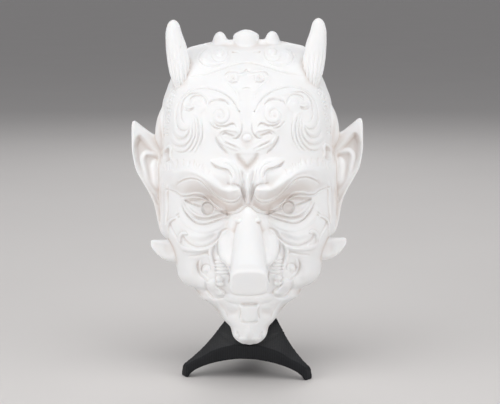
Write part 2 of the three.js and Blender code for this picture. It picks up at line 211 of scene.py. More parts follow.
def smoothPath(points, spacing=0.5, closed=False):  # Catmull-Rom line through points
    points = np.asarray(points, float)
    if closed:
        points = np.vstack([points[-1:], points, points[:2]])
    else:
        points = np.vstack([2 * points[0] - points[1], points, 2 * points[-1] - points[-2]])
    line = []
    for p0, p1, p2, p3 in zip(points, points[1:], points[2:], points[3:]):
        steps = max(2, int(np.ceil(np.linalg.norm(p2 - p1) / spacing)))
        for t in np.arange(steps) / steps:
            line.append(0.5 * (2 * p1 + (p2 - p0) * t + (2 * p0 - 5 * p1 + 4 * p2 - p3) * t ** 2
                               + (3 * p1 - p0 - 3 * p2 + p3) * t ** 3))
    if not closed:
        line.append(points[-2])
    return np.array(line)


def ramp(low, high, value):
    t = np.clip((value - low) / (high - low), 0, 1)
    return t * t * (3 - 2 * t)


def squared(wave, power):  # 2 leaves a circle round, more makes it squarer
    return np.sign(wave) * np.abs(wave) ** (2 / power)


def fullTurn(count):  # even angles of one full turn
    return np.linspace(0, 2 * math.pi, count, endpoint=False)


def unitAlong(line):  # unit direction at each point of a line
    along = np.gradient(line, axis=0)
    return along / np.maximum(np.linalg.norm(along, axis=1), 1e-6)[:, None]


# Node trees and colour

def fill(tree, node, inputs):  # links sockets, sets plain values
    for key, value in inputs.items():
        if isinstance(value, bpy.types.NodeSocket):
            tree.links.new(value, node.inputs[key])
        else:
            node.inputs[key].default_value = value


def addNode(tree, kind, settings=None, inputs=None):
    node = tree.nodes.new(kind)
    for key, value in (settings or {}).items():
        setattr(node, key, value)
    fill(tree, node, inputs or {})
    return node


def linear(code):  # "#rrggbb" in sRGB to linear RGBA
    parts = [int(code[i:i + 2], 16) / 255 for i in (1, 3, 5)]
    return tuple(p / 12.92 if p <= 0.04045 else ((p + 0.055) / 1.055) ** 2.4 for p in parts) + (1.0,)


# Materials

def newMaterial(name):  # with its tree, its shader and the socket of Object coordinates
    material = bpy.data.materials.new(name)
    material.use_nodes = True
    tree = material.node_tree
    place = addNode(tree, "ShaderNodeTexCoord").outputs["Object"]
    return material, tree, tree.nodes["Principled BSDF"], place


def noise(tree, place, sizeMm, detail):
    inputs = {"Vector": place, "Scale": 1 / (sizeMm * toMetres), "Detail": detail}
    return addNode(tree, "ShaderNodeTexNoise", inputs=inputs).outputs["Fac"]


def mixed(tree, share, first, second):
    inputs = {"Factor": share, "A": first, "B": second}
    return addNode(tree, "ShaderNodeMix", {"data_type": "RGBA"}, inputs).outputs["Result"]


def ranged(tree, value, low, high):
    inputs = {"Value": value, "To Min": low, "To Max": high}
    return addNode(tree, "ShaderNodeMapRange", inputs=inputs).outputs["Result"]


def bumped(tree, height, strength, depthMm):
    inputs = {"Height": height, "Strength": strength, "Distance": depthMm * toMetres}
    return addNode(tree, "ShaderNodeBump", inputs=inputs).outputs["Normal"]


whitePrint = {
    "colour": "#f0f0f0",
    "mottleColour": "#ededed",
    # the darker colour of the shade painted into hollows, on undersides and over the open back
    "paintedShadeColour": "#cec3bc",
    "grainMm": 0.9,  # the real powder grain is near 0.1, too fine to show
    "grainDepthMm": 0.15,
    "mottleMm": 14,
    "roughness": (0.52, 0.66),
    "scatterMm": 1.2,
}


def makeWhitePrint():
    # Sintered white nylon: dead matt, a little light passes into it, a fine powdery grain; shade is painted
    # darker into its hollows.
    material, tree, shader, place = newMaterial("sinteredNylonWhite")
    mottle = noise(tree, place, whitePrint["mottleMm"], 3.0)
    # painted shade: the hollow attribute mixes the white towards a darker tone in hollows and on undersides
    hollow = addNode(tree, "ShaderNodeAttribute", {"attribute_name": "hollow"}).outputs["Fac"]
    pale = mixed(tree, mottle, linear(whitePrint["colour"]), linear(whitePrint["mottleColour"]))
    grain = noise(tree, place, whitePrint["grainMm"], 2.0)
    fill(tree, shader, {
        "Base Color": mixed(tree, hollow, pale, linear(whitePrint["paintedShadeColour"])),
        "Roughness": ranged(tree, grain, *whitePrint["roughness"]),
        "Normal": bumped(tree, grain, 0.12, whitePrint["grainDepthMm"]),
        "IOR": 1.5,
        "Subsurface Weight": 0.12,
        "Subsurface Radius": (1.0, 0.75, 0.6),
        "Subsurface Scale": whitePrint["scatterMm"] * toMetres,
    })
    return material


blackPrint = {
    "colour": "#0f1012",
    "fadedColour": "#26272b",
    "dustColour": "#c9ccd0",
    "layerMm": 1.1,  # real layers are near 0.3, drawn coarser to show
    "wavePerScale": 0.314,  # a band texture repeats each 0.314 of its scale
    "grainMm": 1.3,
    "reliefMm": 0.25,
    "dustMm": 9,
    "dustEdge": (0.025, 0.045),
    "roughness": (0.45, 0.7),
}


def makeBlackPrint():
    # Black filament print: satin, faint upright print lines, greyish grain and a few white dust specks.
    material, tree, shader, place = newMaterial("printedPlasticBlack")
    lines = addNode(tree, "ShaderNodeTexWave", {"wave_type": "BANDS", "bands_direction": "X"}, {
        "Vector": place, "Scale": blackPrint["wavePerScale"] / (blackPrint["layerMm"] * toMetres),
        "Distortion": 0.6, "Detail": 1.0}).outputs["Fac"]
    grain = noise(tree, place, blackPrint["grainMm"], 4.0)
    faded = addNode(tree, "ShaderNodeMath", {"operation": "MULTIPLY"}, {0: grain, 1: lines}).outputs["Value"]
    body = mixed(tree, faded, linear(blackPrint["colour"]), linear(blackPrint["fadedColour"]))
    specks = addNode(tree, "ShaderNodeTexVoronoi", {"feature": "F1"}, {
        "Vector": place, "Scale": 1 / (blackPrint["dustMm"] * toMetres)}).outputs["Distance"]
    near, far = blackPrint["dustEdge"]
    dust = addNode(tree, "ShaderNodeMapRange", inputs={
        "Value": specks, "From Min": near, "From Max": far, "To Min": 0.8, "To Max": 0.0}).outputs["Result"]
    relief = addNode(tree, "ShaderNodeMath", {"operation": "ADD"}, {0: grain, 1: lines}).outputs["Value"]
    fill(tree, shader, {
        "Base Color": mixed(tree, dust, body, linear(blackPrint["dustColour"])),
        "Normal": bumped(tree, relief, 0.35, blackPrint["reliefMm"]),
        "Roughness": ranged(tree, grain, *blackPrint["roughness"]),
        "IOR": 1.46,
        "Specular IOR Level": 0.25,  # fine layers shade each other
    })
    return material


# The shell of the face

shell = {
    "chinTip": -2, "crownTop": 189.2, "wall": 3, "cavityFloor": 3.5,
    "frontWall": 1.6,  # times the wall, straight through the face
    "behindRim": 8,  # how far the hollow's cutter reaches out at the open back
    "rimPower": 8,  # the higher, the nearer to the rim the relief goes
    "rows": 340, "columns": 320, "hollowRows": 90, "hollowColumns": 70,
}
# Each pair is a height and the value there. Depths are measured from the open back.
halfWidth = profile(
    (-2, 0), (-1.2, 4.4), (-0.4, 6.6), (1.2, 8.6), (4.4, 10.7), (6.9, 11.3), (8.6, 11.9), (11.4, 14.6),
    (13.8, 16.7), (17.1, 19.3), (20, 21.4), (22.9, 25.1), (24.6, 28.2), (26.4, 31), (29.4, 32.4),
    (31.8, 34.6), (33.4, 38.6), (35.7, 42), (40.2, 45), (43.6, 45.8), (47.5, 46.4), (55.2, 48.2),
    (61.7, 51), (67, 53.4), (74, 54.6), (90, 54.6), (97, 55.2), (105, 55.3), (114, 53.8), (124, 53.4),
    (136, 53.8), (146, 53.8), (158, 50.5), (172, 44), (180, 40.2), (183.6, 36.8), (185.4, 30.2),
    (187.6, 20.2), (188.6, 11), (189.2, 0))
frontDepth = profile(
    (-2, 36), (1, 40), (20, 47), (45, 54), (80, 53), (110, 57), (125, 56.5), (140, 52), (155, 44),
    (168, 32.5), (178, 21), (184, 12.6), (187.6, 7), (189.2, 2))
rimDepth = profile(
    (-2, 36), (1, 33), (10, 28), (22, 18), (34, 8), (46, 1), (54, 0), (150, 0), (186, 0), (189.2, 1))
roundness = profile((-2, 1.7), (30, 2), (60, 2.4), (156, 2.4), (178, 3.3), (189.2, 3))

# Soft masses: across, up, reach across, reach up, rise.
swells = {
    "brow": (24, 99, 24, 12, 5.6),
    "frown": (7, 97, 10, 12, 2.5),
    "cheek": (33, 60, 14, 11, 4),
    "muzzle": (9, 41, 18, 13, 2.5),
    "chin": (0, 7, 9, 8, 2),
    "forehead": (18, 140, 16, 15, 2.5),
    "temple": (40, 127, 10, 16, 1.5),
    "eyeSocket": (25, 82.5, 17, 11, -6.2),
    "noseRoot": (0, 71, 14, 11, 4.6),
    "jawHollow": (29.5, 45, 5, 8, -3.0),
    "mouthHollow": (0, 27, 12, 5, -1.5),
}


def swellAt(x, z):
    rise = np.zeros(np.broadcast(x, z).shape)
    for across, up, reachAcross, reachUp, height in swells.values():
        distance = ((np.abs(x) - across) / reachAcross) ** 2 + ((z - up) / reachUp) ** 2
        rise = rise + height * np.exp(-1.6 * distance)
    return rise


# The carving is laid out on a front drawing of one half, true to size 50 mm in front of the
# open back and seen from 800 mm in front of that, at the height of the sight line.
drawing = {
    "distance": 800, "depth": 50, "sightLine": 85.2,
    "pitch": 0.2, "width": 76, "low": -6, "high": 192,
}
acrossCells = np.arange(0, drawing["width"], drawing["pitch"])
upCells = np.arange(drawing["low"], drawing["high"], drawing["pitch"])


def onDrawing(x, y, z):
    shrink = (drawing["distance"] + drawing["depth"] + y) / drawing["distance"]
    return np.abs(x) / shrink, drawing["sightLine"] + (z - drawing["sightLine"]) / shrink


def readLayer(layer, across, up):
    column = np.clip(across / drawing["pitch"], 0, len(acrossCells) - 1.001)
    row = np.clip((up - drawing["low"]) / drawing["pitch"], 0, len(upCells) - 1.001)
    c, r = column.astype(int), row.astype(int)
    fc, fr = column - c, row - r
    return ((layer[r, c] * (1 - fc) + layer[r, c + 1] * fc) * (1 - fr)
            + (layer[r + 1, c] * (1 - fc) + layer[r + 1, c + 1] * fc) * fr)


def window(points, margin):
    low, high = points.min(0) - margin, points.max(0) + margin
    columns = slice(max(0, int(low[0] / drawing["pitch"])), max(0, int(high[0] / drawing["pitch"]) + 2))
    rows = slice(max(0, int((low[1] - drawing["low"]) / drawing["pitch"])),
                 max(0, int((high[1] - drawing["low"]) / drawing["pitch"]) + 2))
    across, up = np.meshgrid(acrossCells[columns], upCells[rows])
    return rows, columns, across, up


def distanceTo(line, across, up):  # nearest distance, and the share of the way along the line
    nearest = np.full(across.shape, 1e9)
    share = np.zeros(across.shape)
    last = len(line) - 1
    for place, (a, b) in enumerate(zip(line[:-1], line[1:])):
        run = b - a
        t = np.clip(((across - a[0]) * run[0] + (up - a[1]) * run[1]) / max(run @ run, 1e-9), 0, 1)
        gap = np.hypot(across - a[0] - t * run[0], up - a[1] - t * run[1])
        closer = gap < nearest
        nearest = np.where(closer, gap, nearest)
        share = np.where(closer, (place + t) / last, share)
    return nearest, share


def section(kind, x):
    x = np.clip(x, 0, 1)
    if kind == "roll":
        return np.sqrt(1 - x * x)
    if kind == "keel":
        return (1 - x) ** 0.9
    return 0.5 + 0.5 * np.cos(np.pi * x)


def taper(share, ends):
    size = np.ones(share.shape)
    if ends in ("both", "start"):
        size = size * (0.3 + 0.7 * np.sqrt(np.clip(share * 5, 0, 1)))
    if ends in ("both", "end"):
        size = size * (0.3 + 0.7 * np.sqrt(np.clip((1 - share) * 5, 0, 1)))
    return size


def stroke(layer, points, width, rise, kind="soft", ends="both", closed=False):
    if not closed and points[-1][0] == 0:  # runs on past the middle
        points = list(points) + [(-x, z) for x, z in points[-2:-4:-1]]
    line = smoothPath(points, 0.8, closed)
    if closed:
        line = np.vstack([line, line[:1]])
    rows, columns, across, up = window(line, width)
    gap, share = distanceTo(line, across, up)
    size = taper(share, "none" if closed else ends)
    height = rise * size * section(kind, gap / (0.5 * width * size))
    part = layer[rows, columns]
    layer[rows, columns] = np.maximum(part, height) if rise > 0 else np.minimum(part, height)


def inside(outline, across, up):
    within = np.zeros(across.shape, bool)
    for a, b in zip(outline, np.roll(outline, -1, axis=0)):
        crosses = (a[1] > up) != (b[1] > up)
        level = a[0] + (up - a[1]) * (b[0] - a[0]) / (b[1] - a[1] if b[1] != a[1] else 1e-9)
        within ^= crosses & (across < level)
    return within


def plateau(layer, points, rise, edge, crown=0.0):  # raised field with a soft edge, crowned if wanted
    outline = smoothPath(points, 0.8, closed=True)
    rows, columns, across, up = window(outline, edge)
    gap, _ = distanceTo(np.vstack([outline, outline[:1]]), across, up)
    signed = np.where(inside(outline, across, up), gap, -gap)
    height = rise * ramp(-0.5 * edge, 0.5 * edge, signed)
    if crown:
        height = height + crown * np.sqrt(np.clip(signed, 0, None) / max(signed.max(), 1e-6))
    layer[rows, columns] += height


def dome(layer, across, up, reachAcross, reachUp, rise, tilt=0.0, kind="roll", added=False):
    rows, columns, gridAcross, gridUp = window(np.array([[across, up]]), max(reachAcross, reachUp))
    c, s = math.cos(math.radians(tilt)), math.sin(math.radians(tilt))
    dx, dz = gridAcross - across, gridUp - up
    x = np.hypot((c * dx + s * dz) / reachAcross, (c * dz - s * dx) / reachUp)
    part = layer[rows, columns]
    height = rise * section(kind, x)
    if added:
        layer[rows, columns] = part + height
    else:
        layer[rows, columns] = np.maximum(part, height) if rise > 0 else np.minimum(part, height)


def blurred(layer, passes):
    for _ in range(passes):
        padded = np.pad(layer, 1, mode="edge")
        layer = (padded[1:-1, 1:-1] * 4 + padded[:-2, 1:-1] + padded[2:, 1:-1]
                 + padded[1:-1, :-2] + padded[1:-1, 2:]) / 8
    return layer


sheets = {"easePasses": 60, "outerFade": (44, 50.5), "middleFade": (-2.5, 5)}


def band(layer, upper, lower, upperRise, lowerRise, ease=1.0):  # sheet that slopes from line to line
    above, below = smoothPath(upper, 0.8), smoothPath(lower, 0.8)
    outline = np.vstack([above, below[::-1]])
    rows, columns, across, up = window(outline, 1)
    toAbove, _ = distanceTo(above, across, up)
    toBelow, _ = distanceTo(below, across, up)
    t = blurred(toAbove / np.maximum(toAbove + toBelow, 1e-6), sheets["easePasses"]) ** ease
    sheet = upperRise + (lowerRise - upperRise) * t
    sheet *= (1 - ramp(*sheets["outerFade"], across)) * ramp(*sheets["middleFade"], across)
    layer[rows, columns] = np.where(inside(outline, across, up), sheet, layer[rows, columns])


def beside(points, gap):  # the same line, set off to its left
    line = smoothPath(points, 1.5)
    along = unitAlong(line)
    return line + gap * np.column_stack([-along[:, 1], along[:, 0]])


def spiral(across, up, outer, inner, turns, start):
    angles = np.radians(start + np.linspace(0, 360 * turns, int(abs(turns) * 12) + 2))
    radii = np.linspace(outer, inner, len(angles))
    return np.column_stack([across + radii * np.cos(angles), up + radii * np.sin(angles)])


# Forms: raised fields and rolls that belong to the shell itself

forms = np.zeros((len(upCells), len(acrossCells)))
# Raised fields: rise, width of the edge, crown, then the outline.
formOutlines = {
    "scrollField": (0.6, 1.6, 0.2, [
        (3.9, 139), (6, 142.8), (9.2, 147.3), (13.4, 150.6), (19.4, 153.1), (25.9, 154.2), (32.6, 153),
        (37.4, 150), (40.7, 146.4), (42.6, 141.6), (43.3, 135.6), (45.5, 130.8), (47, 126), (47.4, 121.2),
        (45, 117), (40.3, 114.2), (34.5, 114.2), (29.5, 117), (27, 123.6), (26.4, 129.6), (27.7, 135.6),
        (28, 139), (25.5, 142), (23.2, 138.6), (22.9, 134.4), (21.5, 130.2), (18.8, 127.2), (18.6, 123.6),
        (16.2, 119.5), (12.1, 115.4), (8.6, 114.4), (5, 114.2), (-1, 114), (-1, 116.4), (2.4, 118.8),
        (4.2, 121.8), (6, 123.9), (3.6, 126), (3, 129.6), (3.5, 134.4)]),
    "frownLeaf": (1.4, 1.2, 0.6, [
        (21.7, 110.2), (16.9, 111.3), (12.1, 110.7), (8.6, 108.3), (6.5, 104.4), (6, 99), (6.4, 94.5),
        (9.9, 94.5), (10.3, 100.2), (12.2, 103.9), (16.4, 105.4), (19.6, 107.4)]),
    "fang": (3.2, 1.6, 1.0, [
        (24.8, 37.6), (24.1, 33.9), (22, 30.9), (19.1, 29.2), (16.1, 29.6), (15, 31.4), (17.2, 33.4),
        (19.1, 35.2), (19.6, 37.6), (21.6, 39)]),
    "tongue": (2.2, 1.2, 1.0, [
        (-4.9, 23), (-4.8, 19), (-4.5, 16.2), (-3.4, 14), (-1.8, 13.1), (0, 12.9), (1.8, 13.1), (3.4, 14),
        (4.5, 16.2), (4.8, 19), (4.9, 23)]),
    "bridge": (2.6, 4.6, 1.6, [
        (0, 84), (4, 82), (7.4, 79.2), (10.4, 75), (11.6, 70), (10, 64), (-10, 64), (-11.6, 70),
        (-10.4, 75), (-7.4, 79.2), (-4, 82)]),
    "chinWedge": (0.9, 1.4, 0.5, [(0, 10.8), (2.9, 6.4), (5.6, 2.6), (-5.6, 2.6), (-2.9, 6.4)]),
}
flameHollow = [(49.4, 110.6), (49.7, 114.2), (48.3, 116.6), (47, 117.4), (47, 114.9), (47.6, 111)]
for rise, edge, crown, outline in formOutlines.values():
    plateau(forms, outline, rise, edge, crown)

# The brow hangs over the eye in two sheets; each line runs from the temple to the nose.
browLines = {
    "top": [(51.5, 104.5), (46, 109), (37, 111), (29, 109), (22, 103.6), (17, 99.6), (12.5, 97.2),
            (8.5, 96.3), (6.2, 95.6), (4.8, 94.4)],
    "brink": [(51.5, 97.2), (46.1, 101), (42.8, 103.3), (36.1, 104.6), (29.5, 102.4), (22.9, 97.7),
              (17.6, 93.9), (14.2, 92.4), (10.2, 92.2), (7.2, 92.6), (4.5, 93.2)],
    "fold": [(51.2, 96.6), (47, 96.2), (43.6, 96.2), (41.6, 98), (37.4, 100.1), (33.4, 100.5), (29.5, 99.5),
             (24.9, 96.2), (20.2, 91.2), (16.2, 87.8), (12.3, 86), (8.3, 86), (5.3, 88.1), (4.1, 90.7)],
    "hem": [(50.6, 95.4), (46.4, 94), (42.6, 92.4), (39.6, 90.2), (36.2, 90), (32.2, 90.8), (27.5, 90.4),
            (23.6, 88.1), (20.3, 84.6), (16.3, 81.2), (11.7, 79.3), (7, 79.9), (3.6, 82), (1.6, 83.3),
            (-1, 84)],
}
band(forms, browLines["top"], browLines["brink"], 0.0, 5.7, ease=1.5)
band(forms, browLines["brink"], browLines["fold"] + [(4.2, 92)], 5.7, 2.6)
band(forms, browLines["fold"] + [(2.4, 90), (-1, 89)], browLines["hem"], 2.4, -0.6)

# Soft pads and dimples: across, up, reach across, reach up, rise, tilt in degrees.
pads = {
    "mouthDimple": (10.4, 18.6, 5, 4, -1.3, 0),
    "cheekBall": (37.6, 43, 9.4, 10.4, 3.0, 0),
    "jawUpper": (34, 31.6, 4.6, 3.4, 1.4, 40),
    "jawLower": (27.4, 24.2, 4.4, 3, 1.2, 40),
    "browEnd": (9.4, 90.4, 5.6, 5.0, 1.0, 0),
}
for pad in pads.values():
    dome(forms, *pad, "soft", added=True)
spikeFoot = (0, 92, 5.5, 11, 1.5)
dome(forms, *spikeFoot)

# Wide soft troughs: width, rise, then the points.
troughLines = {
    "frown": (3.6, -1.7, [(3.8, 104), (3, 99.6), (2.9, 95.6), (2.6, 91.6), (1.8, 87)]),
    "foreheadPoint": (5.4, -2.0, [(6.4, 113.6), (4.4, 110.6), (2.2, 108), (0, 106.2)]),
    "eyeBag": (6.6, -1.8, [(36.4, 63.6), (31, 61.4), (25, 62.2), (19, 66)]),
    "eyeCorner": (5.4, -2.4, [(20, 80), (15.6, 79), (11, 78.6)]),
}
troughs = np.zeros_like(forms)
for width, rise, points in troughLines.values():
    stroke(troughs, points, width, rise)
forms += blurred(troughs, 24)

# Bulges: across, up, reach across, reach up, rise, tilt in degrees.
formDomes = {
    "eyeball": (25.6, 81.8, 12.5, 5.6, 2.4, -4),
    "hookHeart": (29, 143.8, 4.6, 4.6, 1.3, 0),
    "spiralDisc": (16.3, 137.4, 7.6, 7.2, 0.8, 0),
    "temple": (38, 130, 5.5, 8, 1.2, 10),
    "crownStud": (15.9, 175, 4.4, 4.2, 1.3, 0),
    "crownCloud": (20, 172, 10, 7, 1.7, -10),
    "smallFace": (6, 158.5, 9, 7, 0.9, 0),
    "upperLipPad": (16.3, 46, 4.4, 8, 1.4, 0),
}
for bulge in formDomes.values():
    dome(forms, *bulge)
forms = blurred(forms, 6)
print("forms drawn")

# Lines: width, rise, then the points. Negative rises are grooves.

ridgeLines = {
    "scrollBand": (5.0, 0.6, [
        (6.3, 139.2), (8.7, 143.4), (12.2, 147.6), (17.6, 150.2), (24.2, 151.7), (30.2, 151.8),
        (35, 150.2), (38, 147), (39.9, 142.8), (40.6, 138), (40.3, 133.8), (38.5, 131.4), (36.1, 131.7)]),
    "hookRim": (1.8, 0.5, [(33.6, 144), (32, 146.7), (29, 147.9), (26.6, 146.7), (25.5, 144)]),
    "hookBeak": (1.9, 0.9, [(31.5, 143.4), (34.3, 142.4), (37.2, 143.2)]),
    "spiral": (3.2, 0.55, spiral(16.3, 137.4, 5.8, 1.6, 1.2, 60)),
    "leafTop": (1.8, 0.7, [(17.8, 125), (16.4, 127.6), (12.9, 129), (9.5, 128.4), (6, 127.8), (5, 125.6)]),
    "calyxOuter": (2.2, 0.7, [(17.4, 125), (15.6, 121.6), (11.6, 119), (8.2, 117.6), (5.4, 116.2)]),
    "calyxInner": (1.6, 0.5, [(13.8, 122.9), (10.2, 121.1), (6.6, 119.3), (3.9, 117.4)]),
    "templeTwo": (2.2, 0.45, [
        (43.9, 129.8), (41.9, 126.6), (39.5, 125.5), (37.1, 126.4), (35.3, 129), (34.3, 132)]),
    "templeThree": (2.2, 0.45, [
        (45.7, 125.1), (43.5, 122.1), (40.2, 120.9), (37.2, 121.5), (34.7, 124.2), (33.5, 127.8),
        (33.4, 133)]),
    "templeFour": (2.2, 0.45, [
        (45.3, 119.1), (42, 117.2), (38.4, 117.1), (35.4, 119.1), (33, 122.7), (31.7, 126.6),
        (31.8, 130.8), (33, 135.4)]),
    "templeFive": (2.2, 0.45, [
        (36.1, 115.5), (32.7, 118.2), (30.6, 122.4), (29.7, 127.2), (30, 132), (31.5, 137)]),
    "templeSix": (2.2, 0.45, [
        (32.2, 115.6), (29.3, 119.4), (28.1, 123.9), (27.8, 129), (28.4, 133.8), (30.1, 137.4),
        (32.9, 139.2)]),
    "crownArc": (2.2, 0.5, [(23.4, 174.4), (25.6, 172.4), (24, 169.8), (20.3, 168.9), (15, 169.4)]),
    "smallBrow": (1.6, 0.7, [(12.6, 160.4), (10.6, 161.9), (7.6, 162.3), (4, 161.6), (1, 162)]),
    "smallCheek": (2.0, 0.45, [(13.9, 158.6), (10.4, 156.2), (7.6, 153.2), (5.6, 149.6), (4.7, 145.4)]),
    "frownInner": (1.3, 0.6, [(5.8, 106), (4.2, 101), (3, 95.6)]),
    "upperLid": (1.6, 1.1, [(38.4, 88), (33.4, 88.6), (28.4, 88.4), (24.2, 87), (20.6, 84.6), (17, 82.2)]),
    "lowerLid": (1.6, 0.8, [
        (36, 83.4), (33.2, 79.6), (29.4, 77.4), (25.2, 76.6), (21, 77.6), (17.4, 78.6), (14, 78.9)]),
    "lidFold": (1.6, 0.6, [
        (38.6, 82.6), (36, 78), (32.4, 75.2), (27, 73.8), (21.6, 74.6), (16.4, 76), (12.4, 77.7)]),
    "bagTop": (5.0, 0.9, [
        (41, 82), (38.6, 76.4), (35, 72.4), (30.2, 70), (24.7, 69.4), (18.6, 71.4), (12.6, 74.6)]),
    "bagCurl": (2.6, 2.0, [(41.2, 60.6), (41, 64.8), (38.9, 67), (36.3, 66.2)]),
    "bagRidge": (3.0, 1.8, [
        (42, 61.4), (40, 58.8), (36.3, 57.2), (30.3, 56.8), (24.3, 57.6), (20.6, 59.6)]),
    "outerCurl": (2.2, 1.5, [(48.3, 64.8), (48.7, 68.6), (48.2, 72), (46.3, 74.9), (43.3, 76.3)]),
    "cheekDot": (1.6, 0.9, [(43.4, 77.8), (42, 79.4), (40.4, 80.1)]),
    "cheekSpiral": (2.0, 0.8, [(28.4, 51), (29, 46.6), (27.4, 42), (24.4, 39.2)]),
    "nasolabial": (2.6, 1.6, [(20.6, 60.6), (22.6, 57), (22.6, 52.6), (21.4, 48), (19.9, 43.4)]),
    "lip": (4.6, 1.0, [(17, 30.6), (12.9, 28), (7.9, 26.8), (0, 26.2)]),
    "jaw": (2.4, 0.9, [(26.6, 31.6), (22.3, 27.4), (18.1, 23.2), (15.2, 19), (12.6, 13)]),
    "browFold": (1.3, 0.8, browLines["fold"][3:]),
    "browHem": (1.2, 0.5, browLines["hem"][3:]),
    "smallEye": (1.5, 0.8, spiral(7.9, 159.6, 2.2, 2.2, 1, 0)),
    "foldInner": (2.2, 1.2, [(48.9, 97), (49.2, 90), (49.4, 83), (49.6, 76), (48.3, 66.4)]),
    "flameOuter": (2.4, 2.0, [(50.6, 108.6), (51, 113), (49.8, 116.4), (47.6, 119), (46.4, 119.8)]),
    "flameInner": (1.8, 1.4, [(46.4, 119.6), (46, 117), (46.2, 114), (45.4, 111)]),
    "lowerLip": (3.8, 0.5, [(7.2, 22), (9.6, 22), (12, 23), (15.4, 25.6)]),
}

